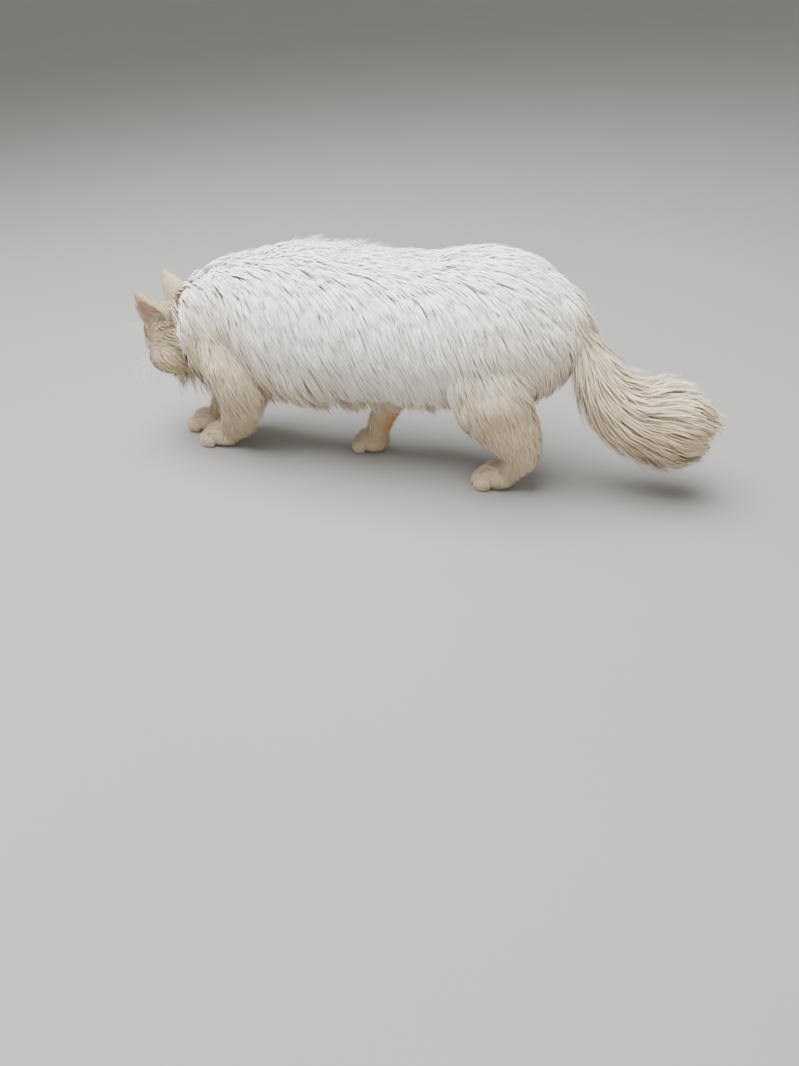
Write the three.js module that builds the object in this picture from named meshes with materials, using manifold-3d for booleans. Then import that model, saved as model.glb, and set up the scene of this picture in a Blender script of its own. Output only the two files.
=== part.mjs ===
// A long-haired Persian cat in mid-walk, head low, at life size.
// Millimetres, +Z up. The head points to -Y and the left side is +X. The four soles stand on Z = 0.
// Each node is a core of flesh and under-fur with its outer coat of flat, tapered locks fused on.
import * as THREE from "three";
import { ConvexGeometry } from "three/addons/geometries/ConvexGeometry.js";
import { mergeVertices } from "three/addons/utils/BufferGeometryUtils.js";
import Module from "manifold-3d";

const wasm = await Module();
wasm.setup();

// Sizes that drive the whole cat.
const GAP = 0.3; // between touching nodes
const UNDER_COAT = 0.45; // share of the coat's depth that is solid under-fur
const OUTER_COAT = 1 - UNDER_COAT; // share left for the locks
const FLOOR_CLEARANCE = 1; // of everything but the soles
const SEED = 20417;

const ROOT_SINK = 5; // how deep a lock's root lies under the core's face
const LOCK_SIDES = 3;
const LOCK_STEPS = 3;

// Colours of the coat and the bare parts.
const COAT = { color: 0xe9e5dc, roughness: 0.9, metalness: 0 };
const EAR = { color: 0xe3d3c6, roughness: 0.85, metalness: 0 };
const NOSE = { color: 0xc99388, roughness: 0.5, metalness: 0 };
const EYE = { color: 0xb0702a, roughness: 0.1, metalness: 0 };

// Small tools.
const vec = (x, y, z) => new THREE.Vector3(x, y, z);
const UP = vec(0, 0, 1);
const FORWARD = vec(0, -1, 0);
const BACK = vec(0, 1, 0);
const TURN = 2 * Math.PI;
const mix = (a, b, t) => a + (b - a) * t;

function randomFrom(seed) {
  let state = seed;
  return () => {
    state = (state + 0x6d2b79f5) | 0;
    let t = Math.imul(state ^ (state >>> 15), 1 | state);
    t = (t + Math.imul(t ^ (t >>> 7), 61 | t)) ^ t;
    return ((t ^ (t >>> 14)) >>> 0) / 4294967296;
  };
}
const random = randomFrom(SEED);
const vary = (value, share) => value * (1 + share * (2 * random() - 1));

function solid(geometry) {
  const bare = geometry.clone();
  bare.deleteAttribute("normal");
  bare.deleteAttribute("uv");
  const merged = mergeVertices(bare, 1e-4);
  return new wasm.Manifold(
    new wasm.Mesh({
      numProp: 3,
      vertProperties: merged.attributes.position.array,
      triVerts: new Uint32Array(merged.index.array),
    }),
  );
}

function geometryOf(body) {
  const mesh = body.getMesh();
  return new THREE.BufferGeometry()
    .setAttribute("position", new THREE.BufferAttribute(mesh.vertProperties, 3))
    .setIndex(new THREE.BufferAttribute(mesh.triVerts, 1));
}

function reshape(geometry, move) {
  const position = geometry.attributes.position;
  const point = vec(0, 0, 0);
  for (let i = 0; i < position.count; i += 1) {
    point.fromBufferAttribute(position, i);
    const moved = move(point);
    position.setXYZ(i, moved.x, moved.y, moved.z);
  }
  return geometry;
}

const union = (bodies) => wasm.Manifold.union(bodies);

function nearest(items, point, key) {
  let best = items[0];
  for (const item of items) {
    if (item[key].distanceToSquared(point) < best[key].distanceToSquared(point)) best = item;
  }
  return best;
}

// The part of a way that runs along a face.
function flatten(way, out) {
  return way.clone().addScaledVector(out, -way.dot(out)).normalize();
}

function largest(body) {
  return body.decompose().reduce((a, b) => (b.volume() > a.volume() ? b : a));
}

function ball(centre, radii, turn = null, around = 16, along = 10) {
  const geometry = new THREE.SphereGeometry(1, around, along);
  geometry.scale(radii[0], radii[1], radii[2]);
  if (turn) geometry.applyQuaternion(turn);
  geometry.translate(centre.x, centre.y, centre.z);
  return solid(geometry);
}

// All that lies on one side of a flat cut, from half a gap beyond it. Growing it moves its face most of the
// way that it moves the other faces, so that no two faces fall together.
function beyond(point, way, grow = 0) {
  const box = new THREE.BoxGeometry(900, 900, 900);
  box.translate(0, 0, 450 + GAP / 2 - 0.9 * grow);
  box.applyQuaternion(new THREE.Quaternion().setFromUnitVectors(UP, way.clone().normalize()));
  box.translate(point.x, point.y, point.z);
  return solid(box);
}

// A limb is a row of oval rings along a smooth spine. Its stations give the ring's middle, its half sizes
// out to the tips of the coat, and the coat's depth there. hang makes the coat deeper on the underside.
class Limb {
  constructor({ crown = UP, hang = 0, around = 16, along = 14, lie, stations }) {
    Object.assign(this, { crown, hang, around, along, lie });
    this.spine = new THREE.CatmullRomCurve3(stations.map((s) => vec(...s.at)), false, "catmullrom");
    this.sizes = new THREE.CatmullRomCurve3(
      stations.map((s) => vec(s.wide, s.deep, s.coat)),
      false,
      "catmullrom",
    );
    this.frames = Array.from({ length: 61 }, (_, i) => this.frame(i / 60));
  }

  frame(t) {
    const along = this.spine.getTangent(t).normalize();
    const up = this.crown.clone().addScaledVector(along, -this.crown.dot(along)).normalize();
    const side = vec(0, 0, 0).crossVectors(up, along);
    const [wide, deep, coat] = this.sizes.getPoint(t).toArray();
    return { centre: this.spine.getPoint(t), along, up, side, wide, deep, coat };
  }

  coatAt(frame, angle) {
    return frame.coat * (1 - this.hang * Math.sin(angle));
  }

  // The point of the ring at this angle, with the coat cut down by share, and grown outwards.
  ringPoint(frame, angle, share, grow, round = 1) {
    const less = share * this.coatAt(frame, angle) - grow;
    const across = Math.cos(angle) * (frame.wide - less) * round;
    const high = Math.sin(angle) * (frame.deep - less) * round;
    return frame.centre.clone().addScaledVector(frame.side, across).addScaledVector(frame.up, high);
  }

  // A point of the core at a share of its length and an angle, rounded off at both ends.
  corePoint(t, angle, grow = 0) {
    const round = Math.pow(Math.max(0, 1 - Math.pow(Math.abs(1 - 2 * t), 6)), 1 / 6);
    return this.ringPoint(this.frame(t), angle, OUTER_COAT, grow, round);
  }

  core(grow = 0) {
    const sphere = new THREE.SphereGeometry(1, this.around, this.along);
    return solid(
      reshape(sphere, (p) => this.corePoint((1 - p.y) / 2, Math.atan2(p.z, p.x), grow)),
    );
  }

  // A spot of the core's face: the place, the way out, and the coat's depth there.
  faceAt(share, angle) {
    const t = THREE.MathUtils.clamp(share, 0.01, 0.99);
    const place = this.corePoint(t, angle);
    const ahead = this.corePoint(t + 0.005, angle).sub(this.corePoint(t - 0.005, angle));
    const round = this.corePoint(t, angle + 0.05).sub(this.corePoint(t, angle - 0.05));
    const out = vec(0, 0, 0).crossVectors(round, ahead).normalize();
    return { place, out, coat: this.coatAt(this.frame(t), angle) };
  }

  // The spot of the face nearest to a point.
  faceNear(point) {
    this.faces ??= Array.from({ length: 59 * 40 }, (_, i) =>
      this.faceAt((1 + Math.floor(i / 40)) / 60, ((i % 40) * Math.PI) / 20),
    );
    const near = nearest(this.faces, point, "place");
    const off = point.clone().sub(near.place).dot(near.out);
    return { ...near, place: point.clone().addScaledVector(near.out, -off) };
  }
}

// A lock is a flat cone bent along the coat: it leaves the host's face under its root and rises to the tips,
// and its edges follow the face too. cling is how far it does so: at 1 it lies along the face, and at 0 it
// goes straight on and hangs.
class Lock {
  constructor(host, face, { long, wide, thick, rise = 1, cling = 1, way = host.lie }) {
    this.rows = [];
    const step = long / LOCK_STEPS;
    const tipHeight = rise * OUTER_COAT * face.coat - thick / 4;
    const straight = flatten(way(face.place, face.out), face.out);
    let here = face;
    for (let i = 0; i <= LOCK_STEPS; i += 1) {
      const t = i / LOCK_STEPS;
      const height = mix(-ROOT_SINK, tipHeight, Math.pow(t, 0.8));
      const ahead = flatten(way(here.place, here.out), here.out);
      const spread = (wide / 2) * Math.pow(Math.sin(Math.PI * mix(0.3, 1, t)), 0.8);
      const place = (sideways, outwards) => {
        const across = vec(0, 0, 0).crossVectors(straight, face.out).multiplyScalar(sideways);
        const free = face.place
          .clone()
          .add(across)
          .addScaledVector(straight, long * t)
          .addScaledVector(face.out, height + outwards);
        const over = vec(0, 0, 0).crossVectors(ahead, here.out).multiplyScalar(sideways);
        const edge = sideways ? host.faceNear(here.place.clone().add(over)) : here;
        const lying = edge.place.clone().addScaledVector(edge.out, height + outwards);
        return free.lerp(lying, cling);
      };
      const half = (thick / 2) * mix(1, 0.5, t);
      this.rows.push({
        middle: place(0, 0),
        edges: [place(-spread, -half * 0.4), place(spread, -half * 0.4)],
        faces: [place(0, -half), place(0, half)],
      });
      here = host.faceNear(here.place.clone().addScaledVector(ahead, step));
    }
  }

  // The corner of a row that a corner of a plain cone goes to.
  corner(row, x, z) {
    const { middle, edges, faces } = this.rows[row];
    const edge = edges[x < 0 ? 0 : 1].clone().sub(middle);
    const face = faces[z < 0 ? 0 : 1].clone().sub(middle);
    return middle.clone().addScaledVector(edge, Math.abs(x)).addScaledVector(face, Math.abs(z));
  }

  body() {
    const cone = new THREE.ConeGeometry(1, 1, LOCK_SIDES, LOCK_STEPS);
    return solid(
      reshape(cone, (p) => {
        const row = Math.round((p.y + 0.5) * LOCK_STEPS);
        const ring = row < LOCK_STEPS ? 1 / (1 - row / LOCK_STEPS) : 0;
        return this.corner(row, p.x * ring, p.z * ring);
      }),
    );
  }

  // The room that the lock takes, with a gap all round: the hull of each of its steps, grown.
  room() {
    const ring = Array.from({ length: LOCK_SIDES }, (_, i) => (TURN * i) / LOCK_SIDES);
    const rows = this.rows.map((_, row) => {
      const size = row < LOCK_STEPS ? 1 : 0;
      return ring.map((a) => this.corner(row, size * Math.sin(a), size * Math.cos(a)));
    });
    const ways = [vec(1, 0, 0), BACK, UP].flatMap((way) => [way, way.clone().negate()]);
    const grown = (p) => ways.map((way) => p.clone().addScaledVector(way, 1.4 * GAP));
    return rows
      .slice(1)
      .map((row, i) => solid(new ConvexGeometry([...rows[i], ...row].flatMap(grown))));
  }
}

// Whether a point lies inside a limb's core.
function covers(limb, point) {
  const frame = nearest(limb.frames, point, "centre");
  const from = point.clone().sub(frame.centre);
  const across = from.dot(frame.side) / (frame.wide - OUTER_COAT * frame.coat);
  const high = from.dot(frame.up) / (frame.deep - OUTER_COAT * frame.coat);
  return Math.abs(from.dot(frame.along)) < 12 && Math.hypot(across, high) < 1;
}

// Locks over a limb, in rows of a number each between two shares of its length and two angles. Where the
// coat lies along the limb a row goes round it, and where it hangs a row goes along it. Every second row is
// set half a lock on, as tiles are, and drift sets each row further on where the locks lie aslant. None grows
// where another limb covers the face.
function coatOf(limb, { share, angle, rows, each, hanging = false, drift = 0, clear = [], ...size }) {
  const locks = [];
  for (let row = 0; row < rows; row += 1) {
    const down = rows > 1 ? row / (rows - 1) : 0.5;
    for (let i = 0; i < each; i += 1) {
      const on = ((i + 0.25 + row * (0.5 + drift) + 0.16 * (random() - 0.5)) / each) % 1;
      const [t, turn] = hanging ? [on, down] : [down, on];
      const face = limb.faceAt(mix(...share, t), degrees(mix(...angle, turn)));
      if (clear.some((other) => covers(other, face.place))) continue;
      locks.push(
        new Lock(limb, face, {
          ...size,
          long: vary(size.long, 0.14),
          wide: vary(size.wide, 0.1),
          rise: vary(size.rise ?? 1, 0.08),
        }),
      );
    }
  }
  return locks;
}

const along = (x, y, z) => () => vec(x, y, z);
const degrees = THREE.MathUtils.degToRad;

// Torso: chest, barrel and haunches. The coat lies back along the spine and hangs down the flanks.
const torso = new Limb({
  hang: 0.35,
  around: 18,
  along: 13,
  lie: along(0, 0.55, -1),
  stations: [
    { at: [0, -176, 158], wide: 44, deep: 53, coat: 26 },
    { at: [0, -120, 165], wide: 68, deep: 85, coat: 24.5 },
    { at: [0, -84, 169], wide: 75, deep: 91, coat: 23 },
    { at: [0, -28, 173], wide: 79, deep: 97, coat: 23 },
    { at: [0, 50, 172], wide: 80, deep: 95, coat: 23 },
    { at: [0, 120, 174], wide: 80, deep: 94, coat: 23 },
    { at: [0, 178, 179], wide: 79, deep: 97, coat: 22 },
    { at: [0, 222, 185], wide: 73, deep: 89, coat: 20 },
    { at: [0, 255, 192], wide: 55, deep: 67, coat: 18 },
    { at: [0, 271, 198], wide: 32, deep: 42, coat: 16 },
  ],
});

// Neck, with the ruff that frames the head. It runs on inside the shoulders.
const neck = new Limb({
  hang: 0.35,
  around: 16,
  along: 10,
  lie: along(0, 0.9, -1),
  stations: [
    { at: [0, -84, 169], wide: 75, deep: 91, coat: 23 },
    { at: [0, -120, 165], wide: 68, deep: 85, coat: 24.5 },
    { at: [0, -156, 158], wide: 64, deep: 77, coat: 30 },
    { at: [0, -185, 146], wide: 60, deep: 68, coat: 32 },
    { at: [0, -207, 137], wide: 47, deep: 55, coat: 27 },
  ],
});

// Tail in three lengths: it drops from the rump, then trails back in a full plume just clear of the floor.
const tailStations = [
  { at: [0, 242, 240], wide: 24, deep: 22, coat: 12 },
  { at: [1, 264, 212], wide: 28, deep: 25, coat: 15 },
  { at: [2, 284, 172], wide: 33, deep: 29, coat: 20 },
  { at: [2, 307, 132], wide: 40, deep: 36, coat: 28 },
  { at: [1, 338, 104], wide: 46, deep: 44, coat: 35 },
  { at: [-2, 374, 91], wide: 48, deep: 48, coat: 39 },
  { at: [-4, 404, 82], wide: 40, deep: 41, coat: 32 },
  { at: [-5, 422, 76], wide: 20, deep: 22, coat: 15 },
];
const tailCrown = vec(0, 0.6, 0.8).normalize();
const tail = new Limb({ crown: tailCrown, around: 10, along: 16, stations: tailStations });
tail.lie = (point) => {
  const frame = nearest(tail.frames, point, "centre");
  return frame.along.clone().addScaledVector(UP, -0.25);
};

// Legs. side is +1 on the left and -1 on the right, and each stance gives where that foot is in the stride.
function limbDown(stations, lie = along(0, 0.3, -1)) {
  return new Limb({ crown: FORWARD, around: 12, along: 8, lie, stations });
}

const foreleg = {
  left: limbDown([
    { at: [34, -140, 172], wide: 22, deep: 40, coat: 16 },
    { at: [43, -128, 130], wide: 29, deep: 42, coat: 16 },
    { at: [42, -120, 98], wide: 27, deep: 40, coat: 14 },
    { at: [34, -129, 68], wide: 21, deep: 32, coat: 10 },
    { at: [25, -145, 40], wide: 17, deep: 24, coat: 7 },
    { at: [19, -160, 20], wide: 15, deep: 15, coat: 4 },
  ]),
  right: limbDown([
    { at: [-34, -144, 172], wide: 22, deep: 40, coat: 16 },
    { at: [-43, -138, 132], wide: 29, deep: 42, coat: 16 },
    { at: [-40, -141, 100], wide: 27, deep: 38, coat: 14 },
    { at: [-28, -162, 68], wide: 21, deep: 29, coat: 10 },
    { at: [-18, -185, 42], wide: 17, deep: 21, coat: 7 },
    { at: [-14, -199, 22], wide: 15, deep: 15, coat: 4 },
  ]),
};

const thigh = {
  left: limbDown(
    [
      { at: [32, 204, 196], wide: 26, deep: 44, coat: 18 },
      { at: [40, 196, 162], wide: 30, deep: 57, coat: 18 },
      { at: [46, 193, 126], wide: 32, deep: 55, coat: 17 },
      { at: [43, 207, 92], wide: 27, deep: 45, coat: 14 },
    ],
    along(0, 0.5, -1),
  ),
  right: limbDown(
    [
      { at: [-32, 178, 194], wide: 26, deep: 46, coat: 18 },
      { at: [-40, 142, 164], wide: 30, deep: 52, coat: 18 },
      { at: [-44, 98, 132], wide: 30, deep: 44, coat: 16 },
      { at: [-38, 68, 100], wide: 24, deep: 33, coat: 12 },
    ],
    along(0, 0.5, -1),
  ),
};

const shank = {
  left: limbDown([
    { at: [44, 203, 104], wide: 26, deep: 43, coat: 13 },
    { at: [40, 220, 78], wide: 22, deep: 36, coat: 9 },
    { at: [36, 228, 54], wide: 18, deep: 25, coat: 6 },
    { at: [31, 218, 32], wide: 16, deep: 18, coat: 5 },
    { at: [29, 207, 18], wide: 15, deep: 15, coat: 4 },
  ]),
  right: limbDown([
    { at: [-38, 70, 104], wide: 24, deep: 33, coat: 12 },
    { at: [-28, 52, 80], wide: 20, deep: 26, coat: 8 },
    { at: [-22, 44, 58], wide: 18, deep: 20, coat: 6 },
    { at: [-19, 36, 36], wide: 16, deep: 17, coat: 5 },
    { at: [-16, 31, 20], wide: 15, deep: 15, coat: 4 },
  ]),
};

// A paw: palm and four toes, cut flat where it stands.
const PALM = { at: [0, 4, 14], radii: [16.5, 22, 14.5] };
const TOE = { radii: [6.6, 10.5, 8.6], height: 8.2, spread: 8.4, reach: 18, outerBack: 4.5 };

function paw({ at, turn = 0, long = 1 }) {
  const place = (x, y, z) =>
    vec(x, y * long, z).applyAxisAngle(UP, degrees(turn)).add(vec(at[0], at[1], 0));
  const spin = new THREE.Quaternion().setFromAxisAngle(UP, degrees(turn));
  return (grow = 0) => {
    const radii = (r) => [r[0] + grow, r[1] * long + grow, r[2] + grow];
    const pads = [ball(place(...PALM.at), radii(PALM.radii), spin, 10, 7)];
    for (let toe = 0; toe < 4; toe += 1) {
      const side = toe - 1.5;
      const outer = Math.abs(side) > 1 ? TOE.outerBack : 0;
      const middle = place(side * TOE.spread, -TOE.reach + outer, TOE.height);
      pads.push(ball(middle, radii(TOE.radii), spin, 7, 5));
    }
    return union(pads);
  };
}

const stance = {
  forepaw_left: { at: [17, -176], turn: 4 },
  forepaw_right: { at: [-13, -214], turn: -3 },
  hindpaw_left: { at: [28, 198], turn: 4, long: 0.95 },
  hindpaw_right: { at: [-16, 25], turn: -3, long: 0.85 },
};

// Head, shaped in its own frame: the middle of the skull at the origin and the face to -Y.
const HEAD = { at: vec(2, -217, 143), pitch: 18, yaw: 6 };
const headTurn = new THREE.Quaternion().setFromEuler(
  new THREE.Euler(degrees(HEAD.pitch), 0, degrees(HEAD.yaw), "ZYX"),
);
const fromHead = (p) => p.clone().applyQuaternion(headTurn).add(HEAD.at);

// Soft forms that blend into the head, each with a middle and half sizes. Those with x above 0 have a twin.
const HEAD_FORMS = [
  { at: [0, 5, 6], radii: [44, 39, 36] }, // skull
  { at: [0, -12, 20], radii: [32, 20.5, 18] }, // forehead
  { at: [27, -9, -13], radii: [24, 24, 22] }, // cheek
  { at: [10.5, -36, -15], radii: [12.5, 10, 9.5] }, // whisker pad
  { at: [0, -33.5, 1], radii: [9.5, 10, 12] }, // short bridge of the nose
  { at: [0, -34, -27], radii: [11, 9.5, 7.5] }, // chin
  { at: [0, -12, -24], radii: [25, 26, 16] }, // jaw
];
const HEAD_BLEND = 7;

function ovalDistance(p, at, radii, grow) {
  const [x, y, z] = radii.map((r) => r + grow);
  const q = vec((p.x - at[0]) / x, (p.y - at[1]) / y, (p.z - at[2]) / z);
  const k = q.length();
  return k < 1e-6 ? -radii[0] : (k - 1) * Math.min(...radii);
}

function headDistance(p, grow) {
  let sum = 0;
  for (const { at, radii } of HEAD_FORMS) {
    sum += Math.exp(-ovalDistance(p, at, radii, grow) / (HEAD_BLEND / 2));
    if (at[0] > 0) {
      sum += Math.exp(-ovalDistance(p, [-at[0], at[1], at[2]], radii, grow) / (HEAD_BLEND / 2));
    }
  }
  return -Math.log(sum) * (HEAD_BLEND / 2);
}

// The head's face along a way out of its middle.
function headFace(way, grow = 0) {
  let near = 10;
  let far = 80;
  const at = (r) => headDistance(way.clone().multiplyScalar(r), grow);
  for (let r = far; r > near; r -= 2) {
    if (at(r) < 0) {
      near = r;
      break;
    }
    far = r;
  }
  for (let i = 0; i < 14; i += 1) {
    const middle = (near + far) / 2;
    if (at(middle) < 0) near = middle;
    else far = middle;
  }
  return way.clone().multiplyScalar(near);
}

function headShell(grow = 0) {
  const sphere = new THREE.SphereGeometry(1, 28, 21);
  return solid(
    reshape(sphere, (p) => {
      // Rings crowd towards the face, at the pole on -Y.
      const polar = Math.acos(THREE.MathUtils.clamp(-p.y, -1, 1)) / Math.PI;
      const eased = Math.PI * Math.pow(polar, 1.25);
      const ring = Math.hypot(p.x, p.z) || 1;
      const way = vec((p.x / ring) * Math.sin(eased), -Math.cos(eased), (p.z / ring) * Math.sin(eased));
      return fromHead(headFace(way.normalize(), grow));
    }),
  );
}

// Eyes, with the lids as a thin shell over the ball, opened to a wide almond.
const EYEBALL = { at: [20.5, -24.5, 4.5], radius: 11, lid: 1.8 };
const OPENING = { wide: 10, high: 8.7, outward: 16, tilt: 8 };

function eyeMiddle(side) {
  return vec(side * EYEBALL.at[0], EYEBALL.at[1], EYEBALL.at[2]);
}

function eyeBall(side, grow = 0) {
  const r = EYEBALL.radius + grow;
  return ball(fromHead(eyeMiddle(side)), [r, r, r], null, 12, 8);
}

function lidOpening(side) {
  const turn = new THREE.Quaternion().setFromEuler(
    new THREE.Euler(0, degrees(side * OPENING.tilt), degrees(side * OPENING.outward), "ZYX"),
  );
  const ahead = vec(0, -11, 0).applyQuaternion(turn);
  turn.premultiply(headTurn);
  return ball(fromHead(eyeMiddle(side).add(ahead)), [OPENING.wide, 9, OPENING.high], turn, 12, 8);
}

// Nose leather: a small rounded wedge under the brow, with two nostrils.
const NOSE_PAD = { at: [0, -43.5, -7], radii: [7.6, 4.6, 5.4], nostril: 1.7, apart: 3.6 };

function nosePad(grow = 0) {
  const [x, y, z] = NOSE_PAD.at;
  const [rx, ry, rz] = NOSE_PAD.radii;
  const sphere = new THREE.SphereGeometry(1, 10, 8);
  return solid(
    reshape(sphere, (p) => {
      const narrow = mix(0.55, 1.05, (p.z + 1) / 2);
      return fromHead(
        vec(x + p.x * (rx + grow) * narrow, y + p.y * (ry + grow), z + p.z * (rz + grow)),
      );
    }),
  );
}

function nostrils() {
  return union(
    [-1, 1].map((side) => {
      const turn = new THREE.Quaternion().setFromEuler(new THREE.Euler(0, side * 0.5, side * 0.5));
      const at = vec(side * NOSE_PAD.apart, NOSE_PAD.at[1] - 3.4, NOSE_PAD.at[2] - 0.4);
      turn.premultiply(headTurn);
      return ball(fromHead(at), [NOSE_PAD.nostril, 2.4, NOSE_PAD.nostril * 0.75], turn, 8, 6);
    }),
  );
}

// The line of the mouth: a groove down from the nose that splits under the two whisker pads.
const MOUTH = { groove: 0.9, split: -19.5, corner: [17.5, -26], pad: [9, -23.5] };

function mouthLine() {
  const onFace = (x, z) => {
    const way = vec(x, -42, z).normalize();
    return fromHead(headFace(way));
  };
  const run = (points) => {
    const path = new THREE.CatmullRomCurve3(points);
    const ring = new THREE.Shape().absarc(0, 0, MOUTH.groove, 0, 2 * Math.PI);
    return solid(
      new THREE.ExtrudeGeometry(ring, { extrudePath: path, steps: 6, curveSegments: 3, bevelEnabled: false }),
    );
  };
  const lines = [run([onFace(0, -12.5), onFace(0, -16), onFace(0, MOUTH.split)])];
  for (const side of [-1, 1]) {
    lines.push(
      run([
        onFace(side * 0.4, MOUTH.split + 0.4),
        onFace(side * MOUTH.pad[0] * 0.5, MOUTH.pad[1] + 0.6),
        onFace(side * MOUTH.pad[0], MOUTH.pad[1]),
        onFace(side * MOUTH.corner[0], MOUTH.corner[1]),
      ]),
    );
  }
  return union(lines);
}

// Ears: small cupped cones, wide apart and tipped forward, open to the front and outwards.
const EAR_SHAPE = { base: [29, 7, 22], tip: [37, -1, 68], facing: [0.98, -0.2] };

function earLimb(side, { base, tip, wide, deep }) {
  const low = fromHead(vec(side * base[0], base[1], base[2]));
  const high = fromHead(vec(side * tip[0], tip[1], tip[2]));
  const at = (t) => vec(0, 0, 0).lerpVectors(low, high, t).toArray();
  const [out, ahead] = EAR_SHAPE.facing;
  const crown = vec(side * out, ahead, 0).applyQuaternion(headTurn).normalize();
  return new Limb({
    crown,
    around: 12,
    along: 8,
    lie: along(0, 0, 1),
    stations: [
      { at: at(0), wide, deep, coat: 0 },
      { at: at(0.35), wide: wide * 0.96, deep: deep * 0.9, coat: 0 },
      { at: at(0.68), wide: wide * 0.66, deep: deep * 0.68, coat: 0 },
      { at: at(0.92), wide: wide * 0.3, deep: deep * 0.4, coat: 0 },
      { at: at(1), wide: wide * 0.14, deep: deep * 0.2, coat: 0 },
    ],
  });
}

function ear(side) {
  const outer = earLimb(side, { ...EAR_SHAPE, wide: 18.5, deep: 10 });
  const open = 6.4;
  const [out, ahead] = EAR_SHAPE.facing;
  const shift = (p, up) => [p[0] + open * out, p[1] + open * ahead, p[2] + up];
  const cup = earLimb(side, {
    base: shift(EAR_SHAPE.base, 3),
    tip: shift(EAR_SHAPE.tip, -7),
    wide: 15.4,
    deep: 10.6,
  });
  return (grow = 0) => (grow ? outer.core(grow) : outer.core().subtract(cup.core()));
}

// Cheek fur: short locks that sweep back from the face over the ruff.
const headHost = {
  lie: (point) => {
    const nose = fromHead(vec(0, -30, -8));
    return point.clone().sub(nose).normalize().addScaledVector(UP, -0.5);
  },
  faceNear(point) {
    const local = point.clone().sub(HEAD.at).applyQuaternion(headTurn.clone().invert());
    const face = headFace(local.normalize());
    const out = face.clone().normalize().applyQuaternion(headTurn);
    return { place: fromHead(face), out, coat: 11 };
  },
};

function cheekLocks() {
  const locks = [];
  for (const side of [-1, 1]) {
    for (let row = 0; row < 2; row += 1) {
      for (let i = 0; i < 2; i += 1) {
        const way = vec(side * (34 - 9 * i), -10 + 13 * row, -9 - 16 * i);
        const face = headHost.faceNear(fromHead(way));
        locks.push(new Lock(headHost, face, { long: vary(24, 0.15), wide: 16, thick: 4.5 }));
      }
    }
  }
  return locks;
}

// The coat of each limb.
const HANG = along(0, 0.12, -1);
const sides = ["left", "right"];
const upperLegs = sides.flatMap((side) => [thigh[side], foreleg[side]]);

// Where each leg's outer and rear faces are on its ring.
const outerAndRear = { left: [-125, 40], right: [140, 305] };

const coat = {
  torso: [
    coatOf(torso, {
      share: [0.2, 0.84],
      angle: [90, 90],
      rows: 5,
      each: 1,
      long: 104,
      wide: 60,
      thick: 6,
      way: () => BACK,
    }),
    ...[0, 1].map((mirror) =>
      coatOf(torso, {
        hanging: true,
        drift: 0.3,
        share: [0.11, 0.95],
        angle: mirror ? [117, 184] : [63, -4],
        rows: 4,
        each: 6,
        long: 76,
        wide: 54,
        thick: 7,
        clear: upperLegs,
      }),
    ),
    ...[-33, 213].map((angle) =>
      coatOf(torso, {
        hanging: true,
        share: [0.13, 0.92],
        angle: [angle, angle],
        rows: 1,
        each: 7,
        long: 68,
        wide: 46,
        thick: 7,
        cling: 0.3,
        way: HANG,
        clear: upperLegs,
      }),
    ),
    coatOf(torso, {
      share: [0.32, 0.68],
      angle: [-90, -90],
      rows: 3,
      each: 1,
      long: 70,
      wide: 50,
      thick: 6,
      clear: upperLegs,
    }),
  ].flat(),
  neck: [
    coatOf(neck, { share: [0.9, 0.9], angle: [-32, 212], rows: 1, each: 6, long: 60, wide: 40, thick: 6 }),
    coatOf(neck, { share: [0.68, 0.68], angle: [-35, 215], rows: 1, each: 7, long: 70, wide: 48, thick: 6 }),
    coatOf(neck, { share: [0.48, 0.48], angle: [-20, 200], rows: 1, each: 7, long: 80, wide: 52, thick: 6 }),
    coatOf(neck, {
      share: [0.93, 0.74],
      angle: [-145, -35],
      rows: 2,
      each: 3,
      long: 62,
      wide: 38,
      thick: 7,
      cling: 0.3,
      way: HANG,
    }),
  ].flat(),
};

const tailLengths = [
  { name: "tail_base", share: [0.12, 0.26], rows: 2, each: 4, long: 60, wide: 28, cling: 0.8 },
  { name: "tail_middle", share: [0.43, 0.57], rows: 2, each: 5, long: 74, wide: 36, cling: 0.8 },
  { name: "tail_plume", share: [0.74, 0.88], rows: 2, each: 5, long: 56, wide: 36, cling: 0.5 },
];
for (const { name, ...rows } of tailLengths) {
  coat[name] = coatOf(tail, { ...rows, angle: [0, 360], thick: 8 });
}

for (const side of sides) {
  coat[`foreleg_${side}`] = coatOf(foreleg[side], {
    share: [0.32, 0.56],
    angle: outerAndRear[side],
    rows: 2,
    each: 3,
    long: 52,
    wide: 27,
    thick: 6,
    cling: 0.8,
  });
  coat[`thigh_${side}`] = coatOf(thigh[side], {
    share: [0.38, 0.66],
    angle: [0, 360],
    rows: 2,
    each: 6,
    long: 52,
    wide: 36,
    thick: 6,
    clear: [torso],
  });
}

// Nodes in the order in which they give way: each core is cut clear of the cores before it, and each coat of
// every other core and of the coats before it.
const tailCuts = [0.37, 0.66];

// A tail length is the tail's core between two cuts square to its spine.
function tailLength(from, to) {
  const cut = (t, ahead, grow) => {
    const { centre, along: way } = tail.frame(t);
    return beyond(centre, way.clone().multiplyScalar(ahead), grow);
  };
  return (grow = 0) => {
    let body = tail.core(grow);
    if (from) body = body.intersect(cut(from, 1, grow));
    if (to) body = body.intersect(cut(to, -1, grow));
    return largest(body);
  };
}

// The head meets the neck behind the cheeks, and the neck meets the torso at the shoulders.
const NAPE = { point: fromHead(vec(0, 13, 0)), way: BACK.clone().applyQuaternion(headTurn) };
const SHOULDERS = { point: vec(0, -118, 0), way: BACK };
const faceSide = NAPE.way.clone().negate();

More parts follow.
